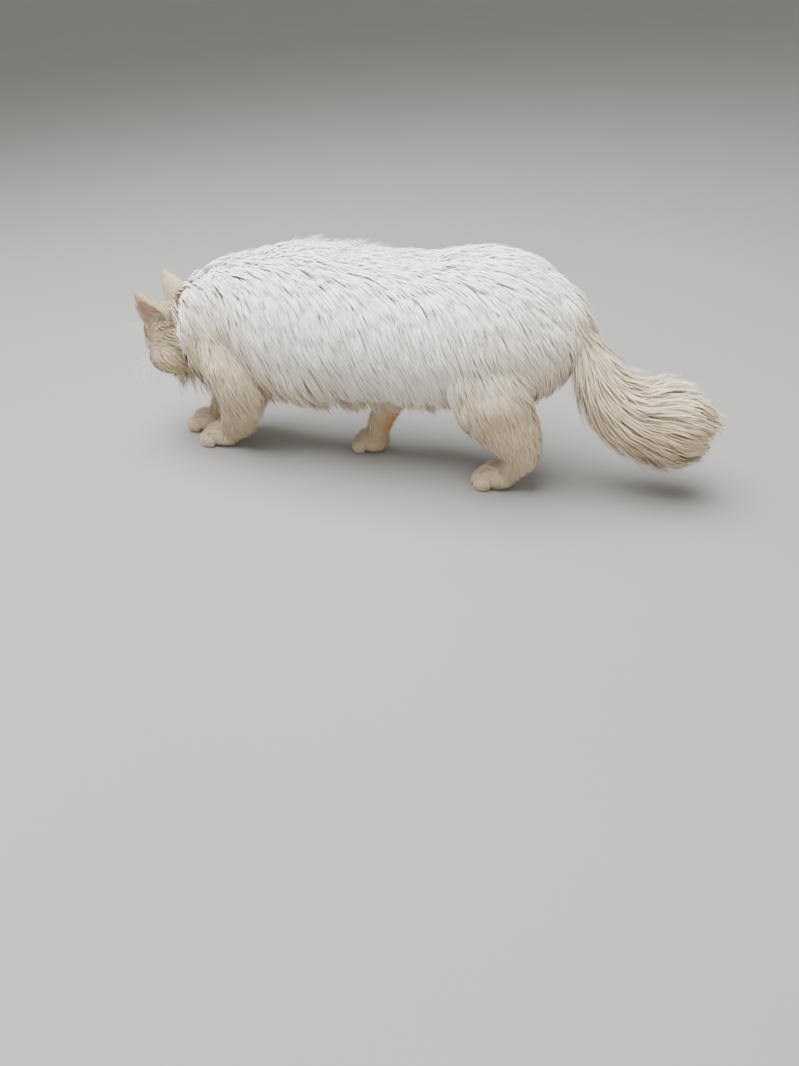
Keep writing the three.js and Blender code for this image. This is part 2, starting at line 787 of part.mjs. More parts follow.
function neckCore(grow = 0) {
  return neck
    .core(grow)
    .intersect(beyond(NAPE.point, NAPE.way, grow))
    .intersect(beyond(SHOULDERS.point, FORWARD, grow));
}

function torsoCore(grow = 0) {
  return torso.core(grow).intersect(beyond(SHOULDERS.point, SHOULDERS.way, grow));
}

function headCore(grow = 0) {
  if (grow) return headShell(grow).intersect(beyond(NAPE.point, faceSide, grow));
  const eyes = [-1, 1];
  const lids = eyes.map((side) => {
    const r = EYEBALL.radius + EYEBALL.lid;
    return ball(fromHead(eyeMiddle(side)), [r, r, r], null, 14, 10);
  });
  return union([headShell(), ...lids])
    .subtract(union(eyes.map((side) => eyeBall(side, GAP))))
    .subtract(union(eyes.map(lidOpening)))
    .subtract(mouthLine())
    .subtract(nosePad(GAP))
    .intersect(beyond(NAPE.point, faceSide));
}

const nodes = [
  { name: "eye_left", core: (grow) => eyeBall(1, grow), look: EYE, inset: true },
  { name: "eye_right", core: (grow) => eyeBall(-1, grow), look: EYE, inset: true },
  {
    name: "nose",
    core: (grow) => (grow ? nosePad(grow) : nosePad().subtract(nostrils())),
    look: NOSE,
    inset: true,
  },
  { name: "head", core: headCore, locks: cheekLocks(), look: COAT },
  { name: "ear_left", core: ear(1), look: EAR },
  { name: "ear_right", core: ear(-1), look: EAR },
  { name: "torso", core: torsoCore, locks: coat.torso, look: COAT },
  { name: "neck", core: neckCore, locks: coat.neck, look: COAT },
  { name: "tail_base", core: tailLength(0, tailCuts[0]), locks: coat.tail_base, look: COAT },
  { name: "tail_middle", core: tailLength(...tailCuts), locks: coat.tail_middle, look: COAT },
  { name: "tail_plume", core: tailLength(tailCuts[1], 0), locks: coat.tail_plume, look: COAT },
];
for (const [name, pose] of Object.entries(stance)) {
  nodes.push({ name, core: paw(pose), look: COAT, sole: true });
}
for (const side of sides) {
  const limbs = { foreleg: foreleg[side], thigh: thigh[side], shank: shank[side] };
  for (const [part, limb] of Object.entries(limbs)) {
    const name = `${part}_${side}`;
    nodes.push({ name, core: (grow) => limb.core(grow), locks: coat[name], look: COAT });
  }
}

function aboveFloor(height) {
  const box = new THREE.BoxGeometry(1500, 1500, 600);
  box.translate(0, 0, 300 + height);
  return solid(box);
}

// The ruff lies over the shoulders, so its locks come before those of the torso.
function coatRank(node) {
  return node.name === "neck" ? 0 : nodes.indexOf(node);
}

function assemble() {
  const cat = new THREE.Group();
  const free = aboveFloor(FLOOR_CLEARANCE);
  const standing = aboveFloor(0);
  for (const node of nodes) {
    node.grown = node.core(GAP);
    node.grownCoat = node.locks ? union(node.locks.flatMap((lock) => lock.room())) : null;
  }
  nodes.forEach((node, index) => {
    let body = node.core(0);
    const before = nodes.slice(0, index).filter((other) => !(other.inset && node.name === "head"));
    if (!node.inset) for (const other of before) body = body.subtract(other.grown);
    if (node.locks) {
      let locks = union(node.locks.map((lock) => lock.body()));
      for (const other of nodes) if (other !== node) locks = locks.subtract(other.grown);
      for (const other of nodes) {
        if (other.grownCoat && coatRank(other) < coatRank(node)) locks = locks.subtract(other.grownCoat);
      }
      body = union([body, locks]);
    }
    body = largest(body.intersect(node.sole ? standing : free));
    const mesh = new THREE.Mesh(geometryOf(body), new THREE.MeshStandardMaterial(node.look));
    mesh.name = node.name;
    cat.add(mesh);
  });
  return cat;
}

const cat = assemble();
const middle = new THREE.Box3().setFromObject(cat).getCenter(vec(0, 0, 0));
cat.position.set(-middle.x, -middle.y, 0);

export default cat;
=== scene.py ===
import functools
import math

import bpy
import numpy as np
from mathutils import Matrix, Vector
from mathutils.kdtree import KDTree


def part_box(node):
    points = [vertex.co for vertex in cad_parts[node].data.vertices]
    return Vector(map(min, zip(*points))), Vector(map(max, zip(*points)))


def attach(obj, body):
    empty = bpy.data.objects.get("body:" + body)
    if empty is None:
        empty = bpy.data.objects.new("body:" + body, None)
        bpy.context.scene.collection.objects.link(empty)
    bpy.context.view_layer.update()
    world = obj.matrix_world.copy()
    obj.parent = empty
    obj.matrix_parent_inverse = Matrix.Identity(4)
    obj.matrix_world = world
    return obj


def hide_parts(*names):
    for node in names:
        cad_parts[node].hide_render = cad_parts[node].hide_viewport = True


bl_info = {
    "name": "Long-haired cat",
    "version": (1, 0, 0),
    "blender": (4, 5, 0),
    "location": "View3D > Sidebar > Cat",
    "description": "Skin, coat, eyes and nose of a long-haired cat over its packed solids",
    "category": "Object",
}

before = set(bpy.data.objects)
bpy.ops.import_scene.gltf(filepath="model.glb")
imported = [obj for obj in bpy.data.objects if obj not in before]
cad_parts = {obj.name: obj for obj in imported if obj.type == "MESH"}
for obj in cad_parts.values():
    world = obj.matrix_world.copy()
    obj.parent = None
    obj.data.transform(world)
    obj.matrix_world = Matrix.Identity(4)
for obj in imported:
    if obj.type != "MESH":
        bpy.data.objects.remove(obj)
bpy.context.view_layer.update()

MM = 0.001
SEED = 20417
UP = np.array([0.0, 0.0, 1.0])
BACK = np.array([0.0, 1.0, 0.0])
FORWARD = -BACK


# Small tools for rows of points.
def unit(v):
    return v / np.maximum(np.linalg.norm(v, axis=-1, keepdims=True), 1e-9)


def dot(a, b):
    return np.sum(a * b, axis=-1, keepdims=True)


def flatten(way, out):
    """The part of a way that runs along a face."""
    return unit(way - out * dot(way, out))


def smooth(x, low, high):
    t = np.clip((x - low) / (high - low), 0, 1)
    return t * t * (3 - 2 * t)


def risen(s, power=1.7):
    """How much of the coat's depth a hair has reached at share s of its length: most of it near its root."""
    return 1 - (1 - s) ** power


def keep_above(rows, least):
    """Holds points along hairs off the floor."""
    rows[:, :, 2] = np.maximum(rows[:, :, 2], least)


def turn_about(axis, degrees):
    return np.array(Matrix.Rotation(math.radians(degrees), 3, axis))


def spline(values, t):
    """Points and slopes of the smooth curve through values, at shares t of it."""
    ends = np.vstack([2 * values[0] - values[1], values, 2 * values[-1] - values[-2]])
    last = len(values) - 1
    place = np.clip(t, 0, 1) * last
    i = np.minimum(place.astype(int), last - 1)
    w = (place - i)[:, None]
    a, b, c, d = ends[i], ends[i + 1], ends[i + 2], ends[i + 3]
    m0, m1 = (c - a) / 2, (d - b) / 2
    k2, k3 = 3 * (c - b) - 2 * m0 - m1, 2 * (b - c) + m0 + m1
    return b + w * (m0 + w * (k2 + w * k3)), m0 + w * (2 * k2 + 3 * w * k3)


SPINE_POINTS = 161
# The skin under a coat is never thinner than this, in mm.
THINNEST = 8
# Hair that runs past this share of a spine goes straight on, a little shorter.
SPINE_END, PAST_END = 0.975, 0.6


def grid(t, around):
    """Each of t with each angle round a ring."""
    angle = np.arange(around) * 2 * math.pi / around
    return np.repeat(t, around), np.tile(angle, len(t))


class Limb:
    """A row of oval rings along a smooth spine. Each station is x, y, z, half width, half depth and the
    coat's depth, out to the tips. hang makes the coat deeper on the underside. A point is at the tips at
    share 0 and on the skin at share 1."""

    def __init__(self, stations, lie=(0, 0.3, -1), crown=UP, hang=0.0):
        rows = np.array(stations, float)
        self.at, self.sizes = rows[:, :3], rows[:, 3:]
        self.lie, self.crown, self.hang = np.array(lie, float), np.array(crown, float), hang
        self.own = np.linspace(0, 1, SPINE_POINTS)
        self.table = self.frames(self.own)
        self.arc = np.append(0, np.cumsum(np.linalg.norm(np.diff(self.table[0], axis=0), axis=1)))

    def frames(self, t):
        """Middle, way ahead, way up, way aside and sizes of the rings at t."""
        centre, slope = spline(self.at, t)
        ahead = unit(slope)
        up = unit(self.crown - ahead * (ahead @ self.crown)[:, None])
        return centre, ahead, up, np.cross(up, ahead), spline(self.sizes, t)[0]

    def surface(self, t, angle, share):
        centre, _, up, side, sizes = self.frames(t)
        less = share * sizes[:, 2] * (1 - self.hang * np.sin(angle))
        ends = np.clip(1 - np.abs(1 - 2 * t) ** 6, 0, 1) ** (1 / 6)
        across = np.cos(angle) * (sizes[:, 0] - less) * ends
        high = np.sin(angle) * (sizes[:, 1] - less) * ends
        return centre + side * across[:, None] + up * high[:, None]

    def shell(self, share=1.0, rings=44, around=36):
        """Its points and faces, closed at both ends."""
        t = np.concatenate([[0.0015], np.linspace(0, 1, rings + 1)[1:-1], [0.9985]])
        points = self.surface(*grid(t, around), share)
        tips = [points[:around].mean(0), points[-around:].mean(0)]
        return np.vstack([points, tips]), tube_faces(len(t), around)

    def read(self, points):
        """For each point: its share of the length, its angle, how far out it is with the skin at 1, the
        coat's depth there, and the way along the spine."""
        centre, ahead, up, side, sizes = self.table
        i = ((points[:, None, :] - centre[None]) ** 2).sum(2).argmin(1)
        off = points - centre[i]
        x, y = (off * side[i]).sum(1), (off * up[i]).sum(1)
        angle = np.arctan2(y / np.maximum(sizes[i, 1], 1), x / np.maximum(sizes[i, 0], 1))
        depth = sizes[i, 2] * (1 - self.hang * np.sin(angle))
        wide, deep = np.maximum(sizes[i, 0] - depth, 2), np.maximum(sizes[i, 1] - depth, 2)
        beyond = np.maximum(np.abs((off * ahead[i]).sum(1)) - 4, 0)
        out = np.hypot(x / wide, y / deep) + beyond / 12
        return i / (len(centre) - 1), angle, out, depth, ahead[i]

    def fan(self, t):
        """How much wider the tips' ring is than the skin's."""
        wide, deep, coat = self.frames(t)[4].T
        return (wide + deep) / np.maximum(wide + deep - 2 * coat, THINNEST)

    def run(self, t, angle, length, share):
        """A point a length further along the coat than the ring at t. Past the end it goes straight on."""
        goal = np.interp(t, self.own, self.arc) + length
        end = SPINE_END * self.arc[-1]
        there = np.interp(np.minimum(goal, end), self.arc, self.own)
        past = np.maximum(goal - end, 0)[:, None]
        return self.surface(there, angle, share) + self.table[1][-1] * past * PAST_END

    def left(self, t):
        """Length of the spine from the ring at t to the end."""
        return self.arc[-1] - np.interp(t, self.own, self.arc)


def tube_faces(rings, around):
    """Faces of rings of points with a point at each end, which come last."""
    first, last = rings * around, rings * around + 1
    faces = []
    for ring in range(rings - 1):
        for k in range(around):
            a, b = ring * around + k, ring * around + (k + 1) % around
            faces.append((a, a + around, b + around, b))
    for k in range(around):
        b = (k + 1) % around
        end = (rings - 1) * around
        faces.append((first, k, b))
        faces.append((last, end + b, end + k))
    return faces


# The body's limbs, as in the solids.
TORSO = Limb(
    [
        (0, -176, 158, 44, 53, 26),
        (0, -120, 165, 68, 85, 24.5),
        (0, -84, 169, 75, 91, 23),
        (0, -28, 173, 79, 97, 23),
        (0, 50, 172, 80, 95, 23),
        (0, 120, 174, 80, 94, 23),
        (0, 178, 179, 79, 97, 22),
        (0, 222, 185, 73, 89, 20),
        (0, 255, 192, 55, 67, 18),
        (0, 271, 198, 32, 42, 16),
    ],
    lie=(0, 0.55, -1),
    hang=0.35,
)
NECK = Limb(
    [
        (0, -84, 169, 75, 91, 23),
        (0, -120, 165, 68, 85, 24.5),
        (0, -156, 158, 64, 77, 30),
        (0, -185, 146, 60, 68, 32),
        (0, -207, 137, 47, 55, 27),
    ],
    lie=(0, 0.9, -1),
    hang=0.35,
)
TAIL = Limb(
    [
        (0, 242, 240, 24, 22, 12),
        (1, 264, 212, 28, 25, 15),
        (2, 284, 172, 33, 29, 20),
        (2, 307, 130, 43, 43, 35),
        (1, 338, 102, 51, 56, 46),
        (-2, 374, 89, 55, 63, 53),
        (-4, 406, 80, 48, 57, 46),
        (-5, 426, 75, 27, 34, 26),
    ],
    crown=(0, 0.6, 0.8),
)
LEGS = {
    "foreleg_left": [
        (34, -140, 172, 22, 40, 16),
        (43, -128, 130, 29, 42, 16),
        (42, -120, 98, 27, 40, 14),
        (34, -129, 68, 21, 32, 10),
        (25, -145, 40, 17, 24, 7),
        (19, -160, 20, 15, 15, 4),
    ],
    "foreleg_right": [
        (-34, -144, 172, 22, 40, 16),
        (-43, -138, 132, 29, 42, 16),
        (-40, -141, 100, 27, 38, 14),
        (-28, -162, 68, 21, 29, 10),
        (-18, -185, 42, 17, 21, 7),
        (-14, -199, 22, 15, 15, 4),
    ],
    "thigh_left": [
        (32, 204, 196, 26, 44, 18),
        (40, 196, 162, 30, 57, 18),
        (46, 193, 126, 32, 55, 17),
        (43, 207, 92, 27, 45, 14),
    ],
    "thigh_right": [
        (-32, 178, 194, 26, 46, 18),
        (-40, 142, 164, 30, 52, 18),
        (-44, 98, 132, 30, 44, 16),
        (-38, 68, 100, 24, 33, 12),
    ],
    "shank_left": [
        (44, 203, 104, 26, 43, 13),
        (40, 220, 78, 22, 36, 9),
        (36, 228, 54, 18, 25, 6),
        (31, 218, 32, 16, 18, 5),
        (29, 207, 18, 15, 15, 4),
    ],
    "shank_right": [
        (-38, 70, 104, 24, 33, 12),
        (-28, 52, 80, 20, 26, 8),
        (-22, 44, 58, 18, 20, 6),
        (-19, 36, 36, 16, 17, 5),
        (-16, 31, 20, 15, 15, 4),
    ],
}
LIMBS = {"torso": TORSO, "neck": NECK, "tail": TAIL}
for leg, stations in LEGS.items():
    lie = (0, 0.5, -1) if leg.startswith("thigh") else (0, 0.3, -1)
    LIMBS[leg] = Limb(stations, lie=lie, crown=FORWARD)

# Paws: a palm and four toes. A stance is the palm's place, the paw's turn in degrees and its length.
PALM = {"at": (0, 4, 14), "radii": (16.5, 22, 14.5)}
TOE = {"radii": (6.6, 10.5, 8.6), "height": 8.2, "spread": 8.4, "reach": 18, "outer_back": 4.5}
# Depth of the fur under a paw's outline, and the form within which the coat is a paw's.
PAW_FUR = 0.9
PAW_FORM = {"at": (2, 12), "radii": (18.5, 28, 16)}
PAD = {"at": (0, 2, 3.2), "radii": (9.5, 8.0, 3.0), "toe_ahead": 1.5, "toe_height": 2.7}
PAD["toe_radii"] = (4.2, 6.0, 2.5)
CLAW = {"ahead": 7.2, "height": 8.6, "way": (0, -1.0, -0.28), "length": 5.6}
STANCE = {
    "forepaw_left": ((17, -176), 4, 1),
    "forepaw_right": ((-13, -214), -3, 1),
    "hindpaw_left": ((28, 198), 4, 0.95),
    "hindpaw_right": ((-16, 25), -3, 0.85),
}

# The head, shaped in its own frame: the middle of the skull at the origin and the face to -Y.
HEAD_AT = np.array([2.0, -217.0, 143.0])
HEAD_TURN = turn_about("Z", 6) @ turn_about("X", 18)
HEAD_FORMS = [
    ((0, 5, 6), (44, 39, 36)),  # skull
    ((0, -12, 20), (32, 20.5, 18)),  # forehead
    ((27, -9, -13), (24, 24, 22)),  # cheek
    ((10.5, -36, -15), (12.5, 10, 9.5)),  # whisker pad
    ((0, -33.5, 1), (9.5, 10, 12)),  # short bridge of the nose
    ((0, -34, -27), (11, 9.5, 7.5)),  # chin
    ((0, -12, -24), (25, 26, 16)),  # jaw
]
HEAD_BLEND = 3.5
# A lid is a shell over the eyeball, with a gap between them. rim is how far out its edge is coloured, and
# clear is how far tufts keep off the eye.
EYEBALL = {"at": (20.5, -24.5, 4.5), "radius": 11.0, "lid": 1.6, "gap": 0.15, "rim": 1.75, "clear": 2.4}
OPENING = {"radii": (10, 9, 7.9), "ahead": (0, -11.0, -0.9), "outward": 16, "tilt": 8}
NOSE_PAD = {"at": (0, -43.5, -7), "radii": (7.6, 4.6, 5.4)}
NOSTRIL = {"apart": 3.6, "radii": (1.7, 2.6, 1.1), "slit_apart": 5.5, "slit_radii": (2.1, 2.0, 0.5)}
MOUTH = {"split": -19.5, "corner": (17.5, -26), "pad": (9, -23.5), "radius": 0.95}
EAR = {"base": (29, 7, 22), "tip": (37, -1, 68), "facing": (0.98, -0.2), "wide": 17.6, "deep": 9.0}
# The cup is a smaller ear, moved out along its facing and up at base and tip, that is cut away.
CUP = {"move": 6.4, "base_up": 3, "tip_up": -7, "wide": 15.4, "deep": 10.6}
# Share of the ear's height, and its width and depth there.
EAR_SHAPE = ((0, 1, 1), (0.35, 0.96, 0.9), (0.68, 0.66, 0.68), (0.92, 0.3, 0.4), (1, 0.14, 0.2))
# Fur's depth on the head: on the face, more towards the nape, and more again on the cheeks.
HEAD_FUR = {"face": 1.0, "nape": 4.0, "cheek": 1.5}


def from_head(p):
    return np.asarray(p, float) @ HEAD_TURN.T + HEAD_AT


def to_head(p):
    return (np.asarray(p, float) - HEAD_AT) @ HEAD_TURN


# From the design's frame to the row's: the solids are centred on their own box.
_low, _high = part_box("eye_left")
SHIFT = np.array((_low + _high) / 2) / MM - from_head(EYEBALL["at"])


def to_row(p):
    return (np.asarray(p, float) + SHIFT) * MM


def head_distance(p, grow):
    """Signed distance, roughly, to the head's face grown by a number for each point."""
    total = np.zeros(len(p))
    for at, radii in HEAD_FORMS:
        for side in (1, -1) if at[0] else (1,):
            r = np.array(radii)[None] + grow[:, None]
            k = np.linalg.norm((p - np.array(at) * (side, 1, 1)) / r, axis=1)
            total += np.exp(-(k - 1) * r.min(1) / HEAD_BLEND)
    return -np.log(np.maximum(total, 1e-300)) * HEAD_BLEND


def head_face(way, grow):
    """The head's face along ways out of its middle, in its own frame."""
    near, far = np.full(len(way), 8.0), np.full(len(way), 80.0)
    for _ in range(16):
        r = (near + far) / 2
        inside = head_distance(way * r[:, None], grow) < 0
        near, far = np.where(inside, r, near), np.where(inside, far, r)
    return way * near[:, None]


def fur_on_head(way):
    """Depth of the fur under the head's outline: thin on the muzzle, deeper on cheeks, crown and nape."""
    back = smooth(way[..., 1], -0.8, 0.35)
    cheek = smooth(np.abs(way[..., 0]), 0.45, 0.9) * smooth(-way[..., 2], -0.25, 0.5)
    return HEAD_FUR["face"] + HEAD_FUR["nape"] * back + HEAD_FUR["cheek"] * cheek * back


def head_skin(way, deeper=0.0):
    """The head's skin along ways out of its middle, or a little under it."""
    return head_face(way, -fur_on_head(way) - deeper)


def eye_turn(side):
    return turn_about("Z", side * OPENING["outward"]) @ turn_about("Y", side * OPENING["tilt"])


def eye_at(side):
    x, y, z = EYEBALL["at"]
    return np.array([side * x, y, z])


def from_eye(side, points):
    """How far points of the head's frame are from an eye's middle, and how much they lie before it."""
    off = points - eye_at(side)
    far = np.linalg.norm(off, axis=-1)
    return far, off @ (eye_turn(side) @ FORWARD) / np.maximum(far, 1e-6)


def ear_limb(side, base, tip, wide, deep):
    low, high = (from_head((side * p[0], p[1], p[2])) for p in (base, tip))
    rows = [(*(low + (high - low) * t), wide * w, deep * d, 0) for t, w, d in EAR_SHAPE]
    out, ahead = EAR["facing"]
    return Limb(rows, crown=unit(HEAD_TURN @ np.array([side * out, ahead, 0])))


def ear_cup(side):
    out, ahead = (CUP["move"] * f for f in EAR["facing"])
    base, tip = (
        (EAR[end][0] + out, EAR[end][1] + ahead, EAR[end][2] + CUP[end + "_up"]) for end in ("base", "tip")
    )
    return ear_limb(side, base, tip, CUP["wide"], CUP["deep"])


EARS = {side: ear_limb(side, EAR["base"], EAR["tip"], EAR["wide"], EAR["deep"]) for side in (1, -1)}
CUPS = {side: ear_cup(side) for side in (1, -1)}


# Making meshes.
def placed(name, data):
    """A new object in the scene."""
    made = bpy.data.objects.new(name, data)
    bpy.context.scene.collection.objects.link(made)
    return made


def new_object(name, points, faces, row=True):
    mesh = bpy.data.meshes.new(name)
    mesh.from_pydata((to_row(points) if row else points).tolist(), [], faces)
    mesh.update()
    return placed(name, mesh)


def ball(at, radii, turn=None, around=40, rings=26):
    p, a = grid((np.arange(rings) + 0.5) / rings * math.pi, around)
    points = np.stack([np.sin(p) * np.cos(a), np.sin(p) * np.sin(a), np.cos(p)], 1)
    points = np.vstack([points, [(0, 0, 1), (0, 0, -1)]]) * radii
    if turn is not None:
        points = points @ np.asarray(turn).T
    return points + at, tube_faces(rings, around)


def ways_round(polar, around):
    """Ways out of a middle, in rings from ahead to behind, with those two last."""
    p, a = grid(polar, around)
    way = np.stack([np.sin(p) * np.cos(a), -np.cos(p), np.sin(p) * np.sin(a)], 1)
    return np.vstack([way, [(0, -1, 0), (0, 1, 0)]])


def together(parts):
    """One list of points and faces from several."""
    points, faces, base = [], [], 0
    for p, f in parts:
        points.append(p)
        faces += [tuple(i + base for i in face) for face in f]
        base += len(p)
    return np.vstack(points), faces


def settle(made):
    """Replaces an object's mesh by the one its modifiers make, and removes them."""
    shown = made.evaluated_get(bpy.context.evaluated_depsgraph_get())
    mesh = bpy.data.meshes.new_from_object(shown)
    old, made.data = made.data, mesh
    made.modifiers.clear()
    bpy.data.meshes.remove(old)
    return made


def combine(made, other, operation):
    """Joins another object to one or cuts it away, and removes the other."""
    cut = made.modifiers.new("join", "BOOLEAN")
    cut.solver, cut.operation, cut.object = "MANIFOLD", operation, other
    settle(made)
    mesh = other.data
    bpy.data.objects.remove(other)
    bpy.data.meshes.remove(mesh)


def solid(name, shape):
    """An object of closed points and faces, with all faces outwards."""
    made = new_object(name, *shape)
    points, tris = arrays(made.data)
    a, b, c = (points[tris[:, k]] for k in range(3))
    if (a * np.cross(b, c)).sum() < 0:
        made.data.flip_normals()
    return made


def carve(made, shape):
    combine(made, solid("tool", shape), "DIFFERENCE")


# Voxel in mm, and rounds of smoothing.
ROUNDING = {"trunk": (2.9, 7), "paws": (1.22, 2), "head": (1.08, 3), "nose": (0.28, 1)}


def rounded(made, kind):
    """Fuses an object's shells and rounds their joins."""
    voxel, rounds = ROUNDING[kind]
    fuse = made.modifiers.new("fuse", "REMESH")
    fuse.mode, fuse.voxel_size = "VOXEL", voxel * MM
    soften = made.modifiers.new("soften", "SMOOTH")
    soften.factor, soften.iterations = 0.5, rounds
    return settle(made)


def arrays(mesh):
    """Points and triangles of a mesh."""
    mesh.calc_loop_triangles()
    points = np.empty(len(mesh.vertices) * 3)
    mesh.vertices.foreach_get("co", points)
    tris = np.empty(len(mesh.loop_triangles) * 3, np.int32)
    mesh.loop_triangles.foreach_get("vertices", tris)
    return points.reshape(-1, 3), tris.reshape(-1, 3)


def tree_of(points):
    """Finds the point nearest to a place."""
    tree = KDTree(len(points))
    for i, p in enumerate(points):
        tree.insert(p, i)
    tree.balance()
    return tree


def nearest(tree, places):
    return np.array([tree.find(p)[1] for p in places])


def mark(mesh, name, values):
    """Stores one number for each point of a mesh."""
    layer = mesh.attributes.new(name, "FLOAT", "POINT")
    layer.data.foreach_set("value", np.asarray(values, np.float32))


def shade_smooth(mesh):
    mesh.polygons.foreach_set("use_smooth", np.ones(len(mesh.polygons), bool))


def dress(made, kind):
    """Gives a piece its one finish and smooth shading."""
    shade_smooth(made.data)
    made.data.materials.clear()
    made.data.materials.append(material_of(coat(), kind))
    made.data.polygons.foreach_set("material_index", np.zeros(len(made.data.polygons), np.int32))


def drifting(points, size, seed):
    """A slow wandering number from -1 to 1 over places, with waves about a size long."""
    rng = np.random.default_rng(seed)
    ways = unit(rng.normal(0, 1, (7, 3))) * rng.uniform(0.7, 1.5, (7, 1)) * 2 * math.pi / size
    return np.clip(np.sin(points @ ways.T + rng.uniform(0, 7, 7)).mean(1) * 2.2, -1, 1)


# Materials.
RGBA, EASED = {"data_type": "RGBA"}, {"interpolation_type": "SMOOTHSTEP"}
PLUS, MINUS, TIMES, MOST = (
    {"operation": name, "use_clamp": True} for name in ("ADD", "SUBTRACT", "MULTIPLY", "MAXIMUM")
)


def srgb(text):
    """A hex colour as the linear numbers that shaders use."""
    parts = [int(text[i : i + 2], 16) / 255 for i in (1, 3, 5)]
    linear = [c / 12.92 if c <= 0.04045 else ((c + 0.055) / 1.055) ** 2.4 for c in parts]
    return (*linear, 1.0)


def darker(colour, share):
    return tuple(c * share for c in colour[:3]) + (1.0,)


def put(tree, kind, inputs=(), **settings):
    """Adds a node, sets it up, and links or fills its inputs by name or number. A kind without Node in its
    name is a shader node's."""
    made = tree.nodes.new(kind if "Node" in kind else "ShaderNode" + kind)
    for name, value in settings.items():
        setattr(made, name, value)
    for key, value in dict(inputs).items():
        if isinstance(value, bpy.types.NodeSocket):
            tree.links.new(value, made.inputs[key])
        else:
            made.inputs[key].default_value = value
    return made


def new_material(name):
    made = bpy.data.materials.new(name)
    made.use_nodes = True
    made.node_tree.nodes.clear()
    return made, made.node_tree


def finish_material(tree, inputs):
    shader = put(tree, "BsdfPrincipled", inputs)
    put(tree, "OutputMaterial", {"Surface": shader.outputs[0]})


def coat_markings_and_shade(sizes):
    """The coat's colours by place, for skin and fur alike: warm white above; cream on face, legs and tail,
    partly the coat's tint and partly painted shade low on the body; painted shade on face, feet and behind
    the ruff; and a tan patch behind the right hock."""
    found = bpy.data.node_groups.get("coat_markings_and_shade")
    if found:
        return found
    tree = bpy.data.node_groups.new("coat_markings_and_shade", "ShaderNodeTree")
    tree.interface.new_socket("Colour", in_out="OUTPUT", socket_type="NodeSocketColor")
    place = put(tree, "TexCoord").outputs["Object"]
    x, y, z = put(tree, "SeparateXYZ", {0: place}).outputs
    # The cream's edge wanders by up to 50 mm, in waves about 40 mm wide, as wide as a few soft locks.
    drift = put(tree, "TexNoise", {"Vector": place, "Scale": 26.0, "Detail": 2.0}).outputs[0]
    drift = put(tree, "Math", {0: drift, 1: 0.05}, **TIMES).outputs[0]
    height = put(tree, "Math", {0: z, 1: drift}, **PLUS).outputs[0]
    # Cream, partly painted shade, reaches higher on fore and hind legs than on the belly between them.
    fore = put(tree, "MapRange", {0: y, 1: -0.14, 2: -0.2}, **EASED).outputs[0]
    hind = put(tree, "MapRange", {0: y, 1: 0.03, 2: 0.09}, **EASED).outputs[0]
    legs = put(tree, "Math", {0: fore, 1: hind}, **PLUS).outputs[0]
    lift = put(tree, "Math", {0: legs, 1: sizes.cream_and_shade_on_legs}, **TIMES).outputs[0]
    level = put(tree, "Math", {0: height, 1: lift}, **MINUS).outputs[0]
    # Below this level white turns cream: partly the coat's tint, partly painted shade on the lower body.
    below = {0: level, 1: sizes.cream_and_shade_below + 0.07, 2: sizes.cream_and_shade_below - 0.09}
    low = put(tree, "MapRange", below, **EASED).outputs[0]
    face = put(tree, "MapRange", {0: y, 1: -0.28, 2: -0.293}, **EASED).outputs[0]
    # On the tail the cream, partly painted shade, thins out where the tail runs high by its root.
    tail = put(tree, "MapRange", {0: y, 1: 0.15, 2: 0.2}, **EASED).outputs[0]
    plume = put(tree, "MapRange", {0: height, 1: 0.28, 2: 0.22, 4: 0.88}, **EASED).outputs[0]
    tail = put(tree, "Math", {0: tail, 1: plume}, **TIMES).outputs[0]
    warm = put(tree, "Math", {0: face, 1: tail}, **MOST).outputs[0]
    warm = put(tree, "Math", {0: low, 1: warm}, **MOST).outputs[0]
    colour = put(tree, "Mix", {0: warm, 6: srgb(sizes.white), 7: srgb(sizes.cream_and_shade)}, **RGBA).outputs[2]
    # Painted shade: face and feet are a shade deeper, partly a deeper cream and partly the shade they lie
    # in.
    feet = put(tree, "MapRange", {0: z, 1: 0.07, 2: 0.02}, **EASED).outputs[0]
    deeper = put(tree, "Math", {0: face, 1: feet}, **MOST).outputs[0]
    deeper = put(tree, "Math", {0: deeper, 1: 0.55}, **TIMES).outputs[0]
    colour = put(tree, "Mix", {0: deeper, 6: colour, 7: srgb(sizes.face)}, **RGBA).outputs[2]

    def patch(colour, middle, stretch, reach, share, tone):
        """A soft patch round a place on both sides of the body, or on one where it lies off the middle."""
        both = put(tree, "VectorMath", {0: place}, operation="ABSOLUTE").outputs[0]
        aside = put(tree, "SeparateXYZ", {0: both}).outputs[0]
        at = {0: aside if middle[0] > 0 else x, 1: y, 2: z}
        at = put(tree, "CombineXYZ", at).outputs[0]
        off = put(tree, "VectorMath", {0: at, 1: to_row(middle)}, operation="SUBTRACT").outputs[0]
        off = put(tree, "VectorMath", {0: off, 1: stretch}, operation="MULTIPLY").outputs[0]
        far = put(tree, "VectorMath", {0: off}, operation="LENGTH").outputs["Value"]
        here = put(tree, "MapRange", {0: far, 1: reach, 2: reach * 0.3, 4: share}, **EASED).outputs[0]
        return put(tree, "Mix", {0: here, 6: colour, 7: srgb(tone)}, **RGBA).outputs[2]

    # Painted shade: a cream patch on each shoulder behind the ruff, where shade falls between ruff and
    # shoulder.
    colour = patch(colour, (66, -142, 136), (1.0, 1.2, 0.7), 0.07, 0.55, sizes.cream_and_shade)
    colour = patch(colour, (-18, 58, 38), (1.0, 1.0, 0.6), 0.028, 0.8, sizes.tan)
    put(tree, "NodeGroupOutput", {0: colour})
    return tree


